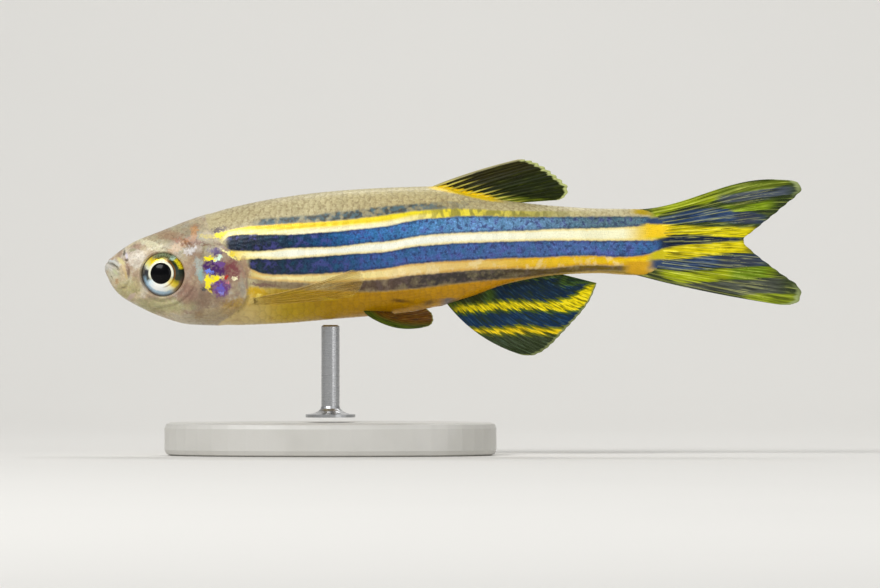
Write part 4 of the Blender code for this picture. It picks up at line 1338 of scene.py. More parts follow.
class DANIO_OT_body(bpy.types.Operator):
    """Builds the skin and lays its scales over it"""

    bl_idname = "danio.make_body"
    bl_label = "Skin and Scales"

    def execute(self, context):
        scene = context.scene
        markings = markings_group()
        skin = make_skin(scene.danio_body)
        skin.data.materials.append(skin_material(markings))
        look = scale_material(markings)
        shape, layout = scale_shape(), scale_layout()
        settings = scene.danio_scales
        for side, start in (("left", 0.0), ("right", 0.5)):
            values = {
                "Skin": skin,
                "Scale": shape,
                "In Row": settings.in_row,
                "Rows": settings.rows,
                "First Place": SCALES_START / BODY_END,
                "Last Place": SCALES_END / BODY_END,
                "Side Start": start,
                "Overlap": settings.overlap,
                "Lift": settings.lift,
                "Seed": settings.seed,
                "Material": look,
            }
            scales = laid_out(f"scales_{side}", layout, values)
            finish_piece(scales, ())
        bpy.data.objects.remove(shape)
        nodes = ("head", "lower_jaw", "gill_cover_left", "gill_cover_right", "trunk", "tail_stem")
        finish_piece(skin, nodes)
        return {"FINISHED"}


# Eyes


class DanioEyeSettings(bpy.types.PropertyGroup):
    pupil_radius: FloatProperty(
        name="Pupil Radius",
        description="Radius of the pupil",
        default=0.00064,
        min=0.0001,
        unit="LENGTH",
        precision=6,
    )


# The iris round the pupil, as shares of a turn from the snout's side by way of the bottom.
IRIS_COLOURS = (
    (0.000, srgb(62, 64, 68)), (0.065, srgb(84, 92, 84)), (0.095, srgb(218, 240, 250)),
    (0.190, srgb(255, 255, 250)), (0.270, srgb(250, 253, 250)), (0.340, srgb(255, 253, 222)),
    (0.375, srgb(250, 222, 90)), (0.415, srgb(214, 190, 40)), (0.445, srgb(66, 70, 52)),
    (0.520, srgb(40, 52, 46)), (0.610, srgb(50, 66, 44)), (0.655, srgb(96, 76, 28)),
    (0.685, srgb(244, 214, 150)), (0.740, srgb(246, 240, 130)), (0.795, srgb(248, 206, 50)),
    (0.860, srgb(250, 220, 30)), (0.905, srgb(254, 248, 150)), (0.945, srgb(246, 248, 224)),
    (0.965, srgb(66, 66, 68)), (1.000, srgb(62, 64, 68)),
)
# Arcs of the iris near its rim: first and last share of a turn, fade, inner radius, colour, strength.
IRIS_RIMS = (
    (0.60, 0.80, 0.02, 0.74, srgb(56, 64, 20), 0.85),
    (0.655, 0.84, 0.02, 0.82, srgb(142, 156, 122), 0.80),
    (0.535, 0.645, 0.012, 0.79, srgb(248, 234, 40), 1.00),
    (0.56, 0.625, 0.012, 0.95, srgb(176, 112, 30), 0.80),
    (0.635, 0.665, 0.010, 0.76, srgb(206, 236, 212), 0.90),
    (0.03, 0.34, 0.03, 0.78, srgb(150, 184, 206), 0.85),
    (0.03, 0.34, 0.03, 0.90, srgb(116, 124, 134), 0.85),
    (0.34, 0.46, 0.03, 0.84, srgb(112, 92, 84), 0.80),
    (0.93, 1.00, 0.02, 0.86, srgb(120, 120, 112), 0.70),
)


def iris_colour(w, face, offset, reach, pupil_share):
    """Bright and dark arcs round a cream ring, ragged by noise, with specks above the pupil, and a painted
    shade round the rim where the socket meets the eye.
    """
    ragged = w.noise(face, 5.0, 4.0, 0.65, output="Color")
    ragged = w.vector("MULTIPLY", w.vector("SUBTRACT", ragged, (0.5, 0.5, 0.5)), (0.26, 0.26, 0))
    loose = w.split(w.vector("ADD", offset, ragged))
    turn = w.math("MULTIPLY_ADD", w.math("ARCTAN2", loose[1], loose[0]), 0.5 / math.pi, 0.5)
    iris = w.ramp(turn, IRIS_COLOURS)
    outer = w.vector("LENGTH", w.vector("ADD", face, w.vector("MULTIPLY", ragged, (0.5, 0.5, 0))))
    for low, high, fade, start, tint, strength in IRIS_RIMS:
        until_high = w.between(turn, high - fade, high + fade, 1.0, 0.0)
        arc = w.times(w.between(turn, low - fade, low + fade), until_high)
        arc = w.times(arc, w.between(outer, start - 0.05, start + 0.05, 0.0, strength))
        iris = w.blend(arc, iris, tint)
    upper = w.times(w.between(turn, 0.52, 0.60), w.between(turn, 0.80, 0.86, 1.0, 0.0))
    specks = w.times(w.between(w.noise(face, 16.0, 2.0, 0.6), 0.50, 0.62), upper)
    iris = w.blend(w.times(specks, w.between(outer, 0.60, 0.72, 0.0, 0.7)), iris, srgb(34, 36, 24))
    ring = w.between(reach, pupil_share + 0.07, pupil_share + 0.13, 1.0, 0.0)
    dull = w.between(loose[1], -0.35, -0.05, 0.25, 1.0)
    iris = w.blend(w.times(ring, dull), iris, srgb(255, 252, 226))
    from_ring = w.between(reach, pupil_share + 0.16, pupil_share + 0.22, 0.6, 0.0)
    thin = w.times(w.between(reach, pupil_share + 0.11, pupil_share + 0.15), from_ring)
    iris = w.blend(w.times(thin, w.between(loose[0], 0.0, 0.3)), iris, srgb(150, 88, 20))
    # Painted shade: the iris darkens to dark olive at its outer rim, where the eye socket shades it.
    edge = w.between(w.vector("LENGTH", face), 0.965, 1.0, 0.0, 0.75)
    return w.blend(edge, iris, srgb(92, 88, 68))


def eye_material(pupil_share):
    """A glossy eye with a black pupil. pupil_share is the pupil's radius as a share of the eye's."""
    constants = {"Coat_Weight": 0.15, "Coat_Roughness": 0.02, "Roughness": 0.28, "IOR": 1.15}
    material, w, shader = new_material("danio_eye", **constants)
    face = w.add("ShaderNodeUVMap", uv_map="face").outputs[0]
    face = w.vector("MULTIPLY", w.vector("SUBTRACT", face, (0.5, 0.5, 0)), (2, 2, 0))
    offset = w.vector("SUBTRACT", face, (PUPIL_OFFSET[0] / EYE_RADIUS, PUPIL_OFFSET[1] / EYE_RADIUS, 0))
    reach = w.vector("LENGTH", offset)
    iris = iris_colour(w, face, offset, reach, pupil_share)
    pupil = w.between(reach, pupil_share - 0.015, pupil_share + 0.02, 1.0, 0.0)
    w.feed(shader.inputs["Base Color"], w.blend(pupil, iris, srgb(3, 3, 5)))
    shine = w.times(w.between(reach, pupil_share, pupil_share + 0.1), 0.35)
    w.feed(shader.inputs["Metallic"], shine)
    return material


def make_eye(name, sign, pupil_radius):
    """An eye as a solid of rings: a lens over the pupil, and the iris running down to a rounded rim."""
    rings, sides = 56, 96
    share = np.linspace(0, 1, rings)
    half_turn = share * np.pi
    radius = EYE_RADIUS * np.sin(half_turn)
    depth = EYE_HALF_DEPTH * np.cos(half_turn)
    angle = np.arange(sides) / sides * 2 * np.pi
    r, turn = np.meshgrid(radius, angle, indexing="ij")
    out = np.repeat(depth[:, None], sides, axis=1)
    x, z = r * np.cos(turn), r * np.sin(turn)
    from_pupil = np.hypot(x - PUPIL_OFFSET[0], z - PUPIL_OFFSET[1]) / (pupil_radius / MM)
    front = smooth_step(0.0, 0.2, out)
    groove = -0.055 * hill(from_pupil - 1.04, 0.10) - 0.02 * hill(from_pupil - 1.9, 0.18)
    lens = 0.035 * (1 - smooth_step(0.3, 0.98, from_pupil))
    out = out + front * (groove + lens - 0.02 * (from_pupil > 1) * (1 - np.minimum(r, 1.2) / 1.2))
    cos, sin = math.cos(EYE_TILT), math.sin(EYE_TILT)
    tilted_x = x * cos - (out - EYE_HALF_DEPTH) * sin
    tilted_out = x * sin + out * cos
    depth_of_centre = float(flank(*EYE_CENTRE)) + EYE_BULGE - EYE_HALF_DEPTH
    y = sign * (depth_of_centre + tilted_out)
    points = np.stack([EYE_CENTRE[0] + tilted_x, y, EYE_CENTRE[1] + z], -1)
    mesh = sheet_mesh(name, metres(points), (share, np.arange(sides + 1) / sides), wrap=True)
    layer = mesh.uv_layers["lie"]
    layer.name = "face"
    flat = np.stack([x, z], -1).reshape(-1, 2) / EYE_RADIUS / 2 + 0.5
    loops = np.zeros(len(mesh.loops), np.int32)
    mesh.loops.foreach_get("vertex_index", loops)
    layer.data.foreach_set("uv", flat[loops].astype(np.float32).ravel())
    weld(mesh)
    return new_object(name, mesh)


class DANIO_OT_eyes(bpy.types.Operator):
    """Builds the two eyes with their lenses and irises"""

    bl_idname = "danio.make_eyes"
    bl_label = "Eyes"

    def execute(self, context):
        radius = context.scene.danio_eyes.pupil_radius
        look = eye_material(radius / MM / EYE_RADIUS)
        for side, sign in SIDES:
            eye = make_eye(f"eyeball_{side}", sign, radius)
            eye.data.materials.append(look)
            finish_piece(eye, (f"eye_{side}",))
        return {"FINISHED"}


# Fins


class DanioFinSettings(bpy.types.PropertyGroup):
    membrane: FloatProperty(
        name="Membrane Thickness",
        description="Thickness of the web between rays",
        default=0.00004,
        min=0.00001,
        unit="LENGTH",
        precision=6,
    )
    ray_radius: FloatProperty(
        name="Ray Radius",
        description="Radius of a ray at its root",
        default=0.00006,
        min=0.00001,
        unit="LENGTH",
        precision=6,
    )
    pleat: FloatProperty(
        name="Pleat",
        description="How far the web swings to each side of the rays",
        default=0.00003,
        min=0.0,
        unit="LENGTH",
        precision=6,
    )
    first_fork: FloatProperty(
        name="First Fork",
        description="Share of a ray's length where it first forks",
        default=0.42,
        min=0.1,
        max=0.9,
        subtype="FACTOR",
    )
    second_fork: FloatProperty(
        name="Second Fork",
        description="Share of a ray's length where it forks again",
        default=0.70,
        min=0.2,
        max=0.95,
        subtype="FACTOR",
    )


def arch(s):
    """A rise of height 1 half way along."""
    return 4 * s * (1 - s)


def flat_fin(root, edge, bow):
    """The shape of a fin in the middle plane, whose rays bow away from straight lines."""

    def point(s, t):
        """Points at the shares s from root to edge and t from the first ray to the last."""
        start, end = root(t), along(edge, t)
        run = end - start
        outward = np.stack([-run[..., 1], run[..., 0]], -1)
        outward /= np.linalg.norm(outward, axis=-1, keepdims=True)
        p = start + run * s[..., None] + outward * bow(s, t)[..., None]
        return np.stack([p[..., 0], np.zeros_like(s), p[..., 1]], -1)

    return point


def middle_root(span, surface, sink):
    """A root along the line of the back or the belly, set lower by the sink, or higher by one below 0."""

    def root(t):
        x = span[0] + (span[1] - span[0]) * t
        return np.stack([x, section(x)[surface] - sink], -1)

    return root


def tail_root(t):
    """The flesh under the tail fin's root, from its upper corner to its lower one."""
    top, bottom, _ = section(TAIL_ROOT_X)
    z = top - 0.05 + (bottom - top + 0.10) * t
    return np.stack([np.full_like(t, TAIL_ROOT_X), z], -1)


def tail_bow(s, t):
    """The outer rays of both lobes bow away from the fork, those of the upper one after a first dip."""
    upper, lower = np.maximum(1 - 2.6 * t, 0), np.maximum(2.6 * t - 1.6, 0)
    swell, dip = 6.75 * s**2 * (1 - s), 6.75 * s * (1 - s) ** 2
    return upper * (0.42 * swell - 0.27 * dip) - 0.12 * lower * arch(s)


def root_offset(s, lift):
    """How far a paired fin has left the skin: straight out of the flesh, then round a bend to run back."""
    turn = np.minimum(s / ROOT_BEND, 1.0)
    return -ROOT_DEPTH + (lift + ROOT_DEPTH) * np.sqrt(1 - (1 - turn) ** 2)


def pectoral_point(s, t):
    """Points of the right pectoral fin, which leans away from the flank."""
    start, end = along(PECTORAL_ROOT, t), along(PECTORAL_EDGE, t)
    p = start + (end - start) * s[..., None]
    z = p[..., 1] - (0.20 * (1 - t) + 0.12 * t) * arch(s)
    y = flank(p[..., 0], z) + root_offset(s, PECTORAL_LIFT) + PECTORAL_SPLAY * s
    return np.stack([p[..., 0], y, z], -1)


def pelvic_point(s, t):
    """Points of the right pelvic fin, which runs back under the belly."""
    place = along(PELVIC_ROOT, t)
    x, y = place[..., 0], place[..., 1]
    start = np.stack([x, y, underside(x, y)], -1)
    end = along(PELVIC_EDGE, t)
    slope = (underside(x, y + 0.05) - underside(x, y)) / 0.05
    out = np.stack([np.zeros_like(slope), slope, -np.ones_like(slope)], -1)
    out /= np.linalg.norm(out, axis=-1, keepdims=True)
    p = start + (end - start) * s[..., None] + out * (root_offset(s, PELVIC_LIFT) * (1 - s))[..., None]
    p[..., 2] -= (PELVIC_BOW * (1 - t) + 0.06 * t) * arch(s)
    return p


def dorsal_bow(s, t):
    """The front rays of the dorsal fin bow up."""
    return DORSAL_BOW * (1 - t) ** 2 * arch(s)


def anal_bow(s, t):
    """The front rays of the anal fin bow down."""
    return ANAL_BOW * (1 - t) * arch(s)


BACK, BELLY = 0, 1
DORSAL_SHAPE = flat_fin(middle_root(DORSAL_ROOT, BACK, ROOT_SINK), DORSAL_EDGE, dorsal_bow)
ANAL_SHAPE = flat_fin(middle_root(ANAL_ROOT, BELLY, -ROOT_SINK), ANAL_EDGE, anal_bow)
TAIL_SHAPE = flat_fin(tail_root, TAIL_EDGE, tail_bow)
TAIL_NODES = ("tail_fin_upper", "tail_fin_lower")
RAYS = {"tail": 19, "anal": 14, "dorsal": 10, "pectoral": 11, "pelvic": 7}

# Every fin: its name, its kind, its shape, its side, where -1 mirrors it to the left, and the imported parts
# that it takes the place of.
FINS = (
    ("dorsal", "dorsal", DORSAL_SHAPE, 1, ("dorsal_fin",)),
    ("anal", "anal", ANAL_SHAPE, 1, ("anal_fin",)),
    ("tail", "tail", TAIL_SHAPE, 1, TAIL_NODES),
    ("pectoral_left", "pectoral", pectoral_point, -1, ("pectoral_fin_left",)),
    ("pelvic_left", "pelvic", pelvic_point, -1, ("pelvic_fin_left",)),
    ("pectoral_right", "pectoral", pectoral_point, 1, ("pectoral_fin_right",)),
    ("pelvic_right", "pelvic", pelvic_point, 1, ("pelvic_fin_right",)),
)
WEB_ROWS = 49
WEB_COLUMNS_PER_RAY = 8

# Rays: steps of a strand, strands of a ray, how far forks spread as shares of a ray's room, how far down
# the web rays reach, and how close their joints are. Paired fins have finer rays.
RAY_STEPS = 22
STRANDS = 4
FIRST_SPREAD, SECOND_SPREAD = 0.24, 0.11
RAY_REACH = 0.992
JOINT_WAVES = 190.0
FINE_RAYS = 0.5

# Where a fin's look says nothing else: how fast its root fades in, and how far its margin draws in.
NO_FADE = 0.001
PLAIN_DRAW = 0.004


def make_web(name, shape, sign, rays, draw, settings):
    """A fin's web: a thin sheet with pleats among its rays and a margin drawn in between their tips."""
    down, across = np.linspace(0, 1, WEB_ROWS), np.linspace(0, 1, rays * WEB_COLUMNS_PER_RAY + 1)
    s, t = np.meshgrid(down, across, indexing="ij")
    wave = np.cos(2 * np.pi * rays * t)
    points = shape(s * (1 - draw * (1 + wave)), t)
    swing = np.where(np.floor(rays * t) % 2, 1, -1)
    points[..., 1] += settings.pleat / MM * wave * smooth_step(0.05, 0.3, s) * swing
    points[..., 1] *= sign
    return new_object(name, sheet_mesh(name, metres(points), (down, across)))


def ray_layout():
    """Rays that fork twice, set out flat on the fin's map, laid on its web, and given their thickness."""
    sockets = [
        ("Geometry", "Geometry"), ("Web", "Object"), ("Rays", "Int"), ("Steps", "Int"),
        ("Radius", "Float"), ("First Fork", "Float"), ("Second Fork", "Float"), ("Material", "Material"),
    ]
    tree, w, given, result = layout_group("ray_layout", sockets)
    web = w.add("GeometryNodeObjectInfo", {"Object": given["Web"]}).outputs["Geometry"]
    points = w.add("GeometryNodePoints", {"Count": w.times(given["Rays"], STRANDS)}).outputs[0]
    index = w.add("GeometryNodeInputIndex").outputs[0]
    points = keep(w, points, "strand", index)
    line = w.add("GeometryNodeCurvePrimitiveLine", {"Start": (0, 0, 0), "End": (1, 0, 0)}).outputs[0]
    line = w.add("GeometryNodeResampleCurve", {"Curve": line, "Count": given["Steps"]}).outputs[0]
    lines = w.add("GeometryNodeInstanceOnPoints", {"Points": points, "Instance": line}).outputs[0]
    lines = w.add("GeometryNodeRealizeInstances", {"Geometry": lines}).outputs[0]

    strand = named(w, "strand")
    ray = w.math("FLOOR", w.over(w.plus(strand, 0.5), STRANDS))
    tip = w.minus(strand, w.times(ray, STRANDS))
    outer = w.math("FLOOR", w.over(w.plus(tip, 0.5), 2.0))
    inner = w.minus(tip, w.times(outer, 2.0))
    starts_low = w.times(w.times(outer, given["First Fork"]), w.minus(1.0, inner))
    starts_high = w.times(inner, given["Second Fork"])
    start = w.plus(starts_low, starts_high)
    along_line = w.split(w.add("GeometryNodeInputPosition").outputs[0])[0]
    share = w.plus(start, w.times(along_line, w.minus(1.0, start)))

    def sides_of(choice):
        """Turns 0 and 1 into -1 and 1."""
        return w.math("MULTIPLY_ADD", choice, 2.0, -1.0)

    first = w.between(share, given["First Fork"], 1.0, 0.0, FIRST_SPREAD)
    first = w.times(first, sides_of(outer))
    second = w.between(share, given["Second Fork"], 1.05, 0.0, SECOND_SPREAD)
    second = w.times(second, sides_of(inner))
    middle = w.plus(ray, 0.5)
    across = w.over(w.plus(w.plus(first, second), middle), given["Rays"])
    lines = keep(w, lines, "ray_share", share)
    place = w.combine(w.times(named(w, "ray_share"), RAY_REACH), across)
    position = sample_surface(w, web, w.add("GeometryNodeInputPosition").outputs[0], place)
    lines = w.add("GeometryNodeSetPosition", {"Geometry": lines, "Position": position}).outputs[0]

    waves = w.math("SINE", w.times(named(w, "ray_share"), JOINT_WAVES))
    joints = w.math("MULTIPLY_ADD", waves, 0.10, 1.0)
    taper = w.between(named(w, "ray_share"), 0.0, 1.0, 1.0, 0.22, smooth=False)
    radius = w.times(w.times(taper, given["Radius"]), joints)
    profile = w.add("GeometryNodeCurvePrimitiveCircle", {"Resolution": 6, "Radius": 1.0}).outputs[0]
    inputs = {"Curve": lines, "Profile Curve": profile, "Scale": radius, "Fill Caps": True}
    rays = w.add("GeometryNodeCurveToMesh", inputs).outputs[0]
    rays = w.add("GeometryNodeSetShadeSmooth", {"Geometry": rays}).outputs[0]
    inputs = {"Geometry": rays, "Material": given["Material"]}
    w.feed(result["Geometry"], w.add("GeometryNodeSetMaterial", inputs).outputs[0])
    return tree


def fin_colours(name, look, rays):
    """Colours of one fin: its ground, its bands stepped from ray to ray, its streaks with painted glints,
    and its margin.
    """
    tree, w, given, result = new_group(
        f"{name}_colours",
        [("Position", "Vector"), ("Fin Map", "Vector")],
        [("Color", "Color"), ("Opacity", "Float")],
    )
    _, x, z = side_view_place(w, given["Position"])
    lie = w.split(given["Fin Map"])
    drawn_out = w.combine(w.times(lie[0], 5.0), w.times(lie[1], rays * 3.6))
    streaks = w.noise(drawn_out, 1.0, 3.0, 0.6)
    step = w.minus(w.math("FRACT", w.times(lie[1], float(rays))), 0.5)
    feather = w.math("MULTIPLY_ADD", streaks, 0.40, -0.20)
    z_soft = w.plus(z, w.math("MULTIPLY_ADD", step, look.get("jag", 0.0), feather))
    front, rear = look["ground"]
    colour = w.blend(w.between(lie[1], 0.15, 0.55), front, rear)
    colour = w.blend(w.between(streaks, 0.50, 0.35, 0.0, 0.35), colour, srgb(34, 34, 14))
    opacity = w.plus(look["opacity"], w.math("MULTIPLY_ADD", streaks, 0.20, -0.10))
    wear = w.between(streaks, 0.34, 0.50, 1.0 - look.get("wear", 0.0), 1.0)
    softness, border = look.get("softness", 0.07), look.get("border")
    colour, opacity = lay_bands(w, x, z_soft, colour, opacity, look["bands"], softness, wear, border)
    # The streaks make the colour darker and lighter in turn, and their light parts take a paler colour:
    # partly the fin's own streaks, partly painted glint along the rays.
    depth = look.get("contrast", 0.0)
    colour = w.lit(colour, w.between(streaks, 0.32, 0.66, 1.0 - depth, 1.0 + depth))
    light = w.between(streaks, 0.54, 0.70, 0.0, look["streaks"])
    colour = w.blend(light, colour, look["streak_glint_colour"])
    start = look["margin"]
    edge = w.between(w.math("MULTIPLY_ADD", streaks, 0.08, lie[0]), start + 0.03, start + 0.06)
    if look.get("tips_only"):
        tips = w.math("MAXIMUM", w.between(lie[1], 0.20, 0.08), w.between(lie[1], 0.80, 0.92))
        edge = w.times(edge, tips)
    colour = w.blend(edge, colour, look["margin_colour"])
    if "leading" in look:
        colour = w.blend(w.between(lie[1], 0.03, 0.08, 0.9, 0.0), colour, look["leading"])
    opacity = w.times(opacity, w.between(lie[0], 0.0, look.get("root_fade", NO_FADE)))
    w.feed(result["Color"], colour)
    w.feed(result["Opacity"], opacity)
    return tree


def fin_materials(name, look, rays):
    """The web's and the rays' materials, both with the fin's colours; the rays' colour is lightened and
    tinted, partly painted glint.
    """
    group = fin_colours(name, look, rays)
    gloss = {"Coat_Weight": 0.05, "Coat_Roughness": 0.2, "IOR": 1.18}
    root_fade = look.get("root_fade", NO_FADE)
    web, w, shader = new_material(f"{name}_web", Roughness=0.4, **gloss)
    colours = w.add("ShaderNodeGroup", {}, node_tree=group)
    w.feed(colours.inputs["Position"], object_place(w))
    w.feed(colours.inputs["Fin Map"], w.add("ShaderNodeUVMap", uv_map="lie").outputs[0])
    w.feed(shader.inputs["Base Color"], colours.outputs["Color"])
    w.feed(shader.inputs["Alpha"], colours.outputs["Opacity"])

    ray, w, shader = new_material(f"{name}_rays", Roughness=0.36, **gloss)
    colours = w.add("ShaderNodeGroup", {}, node_tree=group)
    w.feed(colours.inputs["Position"], object_place(w))
    share, strand = attribute(w, "ray_share"), attribute(w, "strand")
    place = w.combine(share, w.over(w.plus(strand, 0.5), STRANDS * rays))
    w.feed(colours.inputs["Fin Map"], place)
    tone = w.noise(w.combine(strand, w.times(share, 3.0)), 1.3, 1.0)
    # The rays are lighter than the web and tinted paler in places: partly their own paler colour, partly
    # painted glint.
    bright = w.lit(colours.outputs["Color"], look.get("ray_gain", 1.0))
    dark = w.blend(w.between(tone, 0.50, 0.38, 0.0, 0.45), bright, srgb(40, 42, 22))
    reach = look["tint_reach"]
    tint = w.between(share, reach - 0.12, reach + 0.12, look["tint_and_glint_strength"], 0.0)
    tint = w.times(tint, w.between(tone, 0.36, 0.56, 0.45, 1.0))
    w.feed(shader.inputs["Base Color"], w.blend(tint, dark, look["tint"]))
    opacity = w.between(share, 0.0, root_fade, 0.0, look.get("ray_opacity", 1.0))
    w.feed(shader.inputs["Alpha"], opacity)
    return web, ray


# Looks of the fins. Their ground runs from the first rays to the last ones.
FIN_LOOKS = {
    "tail": {
        "bands": TAIL_BANDS,
        "ground": (srgb(50, 66, 18), srgb(54, 66, 30)),
        "opacity": 0.90,
        "jag": 0.08,
        "wear": 0.45,
        "contrast": 0.42,
        "ray_gain": 1.45,
        "streaks": 0.36,
        "streak_glint_colour": srgb(222, 224, 120),
        "margin": 0.965,
        "margin_colour": srgb(160, 172, 112),
        "tips_only": True,
        "tint": srgb(214, 214, 110),
        "tint_and_glint_strength": 0.32,
        "tint_reach": 1.2,
    },
    "anal": {
        "bands": ANAL_BANDS,
        "ground": (srgb(54, 66, 22), srgb(74, 86, 30)),
        "opacity": 0.93,
        "jag": 0.17,
        "softness": 0.15,
        "border": srgb(64, 88, 16),
        "wear": 0.15,
        "contrast": 0.50,
        "ray_gain": 1.2,
        "streaks": 0.14,
        "streak_glint_colour": srgb(120, 160, 150),
        "margin": 0.97,
        "margin_colour": srgb(132, 140, 88),
        "tint": srgb(80, 110, 100),
        "tint_and_glint_strength": 0.10,
        "tint_reach": 1.2,
    },
    "dorsal": {
        "bands": DORSAL_BANDS,
        "ground": (srgb(42, 38, 4), srgb(30, 38, 3)),
        "opacity": 0.975,
        "jag": 0.10,
        "draw": 0.012,
        "contrast": 0.20,
        "streaks": 0.30,
        "streak_glint_colour": srgb(88, 98, 18),
        "margin": 0.950,
        "margin_colour": srgb(186, 192, 122),
        "leading": srgb(188, 182, 136),
        "tint": srgb(226, 216, 100),
        "tint_and_glint_strength": 0.75,
        "tint_reach": 0.27,
    },
    "pectoral": {
        "bands": (),
        "ground": (srgb(206, 168, 60), srgb(190, 152, 50)),
        "opacity": 0.14,
        "root_fade": 0.30,
        "streaks": 0.50,
        "streak_glint_colour": srgb(230, 206, 130),
        "margin": 0.99,
        "margin_colour": srgb(214, 200, 140),
        "leading": srgb(236, 204, 128),
        "tint": srgb(226, 184, 76),
        "tint_and_glint_strength": 0.60,
        "tint_reach": 1.2,
        "ray_opacity": 0.38,
    },
    "pelvic": {
        "bands": (),
        "ground": (srgb(62, 78, 12), srgb(86, 52, 4)),
        "opacity": 0.92,
        "contrast": 0.25,
        "root_fade": 0.05,
        "streaks": 0.30,
        "streak_glint_colour": srgb(140, 128, 44),
        "margin": 0.985,
        "margin_colour": srgb(150, 152, 90),
        "tint": srgb(134, 120, 40),
        "tint_and_glint_strength": 0.35,
        "tint_reach": 1.2,
    },
}


class DANIO_OT_fins(bpy.types.Operator):
    """Builds the web and the forked rays of every fin"""

    bl_idname = "danio.make_fins"
    bl_label = "Fins"

    def execute(self, context):
        settings = context.scene.danio_fins
        layout = ray_layout()
        looks = {kind: fin_materials(kind, look, RAYS[kind]) for kind, look in FIN_LOOKS.items()}
        for name, kind, shape, sign, nodes in FINS:
            web_look, ray_look = looks[kind]
            draw = FIN_LOOKS[kind].get("draw", PLAIN_DRAW)
            web = make_web(f"{name}_web", shape, sign, RAYS[kind], draw, settings)
            values = {
                "Web": web,
                "Rays": RAYS[kind],
                "Steps": RAY_STEPS,
                "Radius": settings.ray_radius * (FINE_RAYS if kind in ("pectoral", "pelvic") else 1.0),
                "First Fork": settings.first_fork,
                "Second Fork": settings.second_fork,
                "Material": ray_look,
            }
            rays = laid_out(f"{name}_rays", layout, values)
            shell = web.modifiers.new("thickness", "SOLIDIFY")
            shell.thickness = settings.membrane
            shell.offset = 0.0
            web.data.materials.append(web_look)
            finish_piece(web, nodes)
            finish_piece(rays, ())
        return {"FINISHED"}


# Stand


def stand_materials():
    """Satin stone grey for the base and brushed steel for the rod."""
    base, w, shader = new_material("stand_base_satin", Coat_Weight=0.1, Coat_Roughness=0.3, IOR=1.5)
    place = object_place(w)
    cloud = w.noise(place, 220.0, 3.0)
    grain = w.noise(place, 9000.0, 2.0)
    grey = w.blend(w.between(cloud, 0.3, 0.7), srgb(206, 204, 198), srgb(196, 194, 187))
    w.feed(shader.inputs["Base Color"], grey)
    w.feed(shader.inputs["Roughness"], w.between(grain, 0.3, 0.7, 0.42, 0.56))
    bump = w.add("ShaderNodeBump", {"Strength": 0.2, "Distance": 0.00004, "Height": grain})
    w.feed(shader.inputs["Normal"], bump.outputs[0])

    rod, w, shader = new_material("stand_rod_brushed", Metallic=1.0, Anisotropic=0.4)
    stretched = w.vector("MULTIPLY", object_place(w), (900.0, 900.0, 26000.0))
    brushed = w.noise(stretched, 1.0, 2.0)
    w.feed(shader.inputs["Base Color"], w.blend(brushed, srgb(196, 197, 198), srgb(168, 169, 171)))
    w.feed(shader.inputs["Roughness"], w.between(brushed, 0.3, 0.7, 0.24, 0.40))
    bump = w.add("ShaderNodeBump", {"Strength": 0.15, "Distance": 0.00002, "Height": brushed})
    w.feed(shader.inputs["Normal"], bump.outputs[0])
    return base, rod


class DANIO_OT_stand(bpy.types.Operator):
    """Gives the stand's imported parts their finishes"""

    bl_idname = "danio.finish_stand"
    bl_label = "Stand"

    def execute(self, context):
        for name, material in zip(("stand_base", "stand_rod"), stand_materials()):
            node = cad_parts[name]
            for slot in node.material_slots:
                slot.material = material
        return {"FINISHED"}


# Stage


class DanioStageSettings(bpy.types.PropertyGroup):
    distance: FloatProperty(
        name="Camera Distance",
        description="Distance of the camera from the middle plane of the fish",
        default=0.5,
        min=0.05,
        unit="LENGTH",
    )
    view_width: FloatProperty(
        name="View Width",
        description="Width of the view at the fish",
        default=0.05303,
        min=0.01,
        unit="LENGTH",
        precision=5,
    )
    view_x: FloatProperty(
        name="View X",
        description="Where the middle of the view lies along the fish",
        default=-0.0008,
        unit="LENGTH",
        precision=5,
    )
    view_z: FloatProperty(
        name="View Z",
        description="Height of the middle of the view",
        default=0.00973,
        unit="LENGTH",
        precision=5,
    )
    floor_colour: FloatVectorProperty(
        name="Floor",
        description="Colour of floor and backdrop",
        default=srgb(222, 220, 215),
        min=0,
        max=1,
        subtype="COLOR",
    )
    key_power: FloatProperty(
        name="Key Power", description="Power of the key light", default=0.68, min=0.0, unit="POWER"
    )
    fill_power: FloatProperty(
        name="Fill Power",
        description="Power of the fill light and of the rim light",
        default=0.20,
        min=0.0,
        unit="POWER",
    )


# The backdrop in metres: the floor's front edge, where it starts to rise, the sweep's radius, the wall's
# height and half the width.
FLOOR_FRONT, SWEEP_START, SWEEP_RADIUS = -0.5, 0.10, 0.12
WALL_HEIGHT, BACKDROP_HALF = 0.7, 0.7
FISH_MIDDLE = (0.0, 0.0, 0.011)

# Lights: name, place and size in metres, and which setting is the power.
LIGHTS = (
    ("key", (-0.14, -0.20, 0.22), (0.16, 0.12), "key_power"),
    ("fill", (0.20, -0.22, 0.08), (0.20, 0.20), "fill_power"),
    ("rim", (0.05, 0.12, 0.20), (0.20, 0.08), "fill_power"),
)
ROOM_COLOUR = srgb(236, 238, 242)
ROOM_STRENGTH = 0.36
SENSOR_WIDTH = 36.0


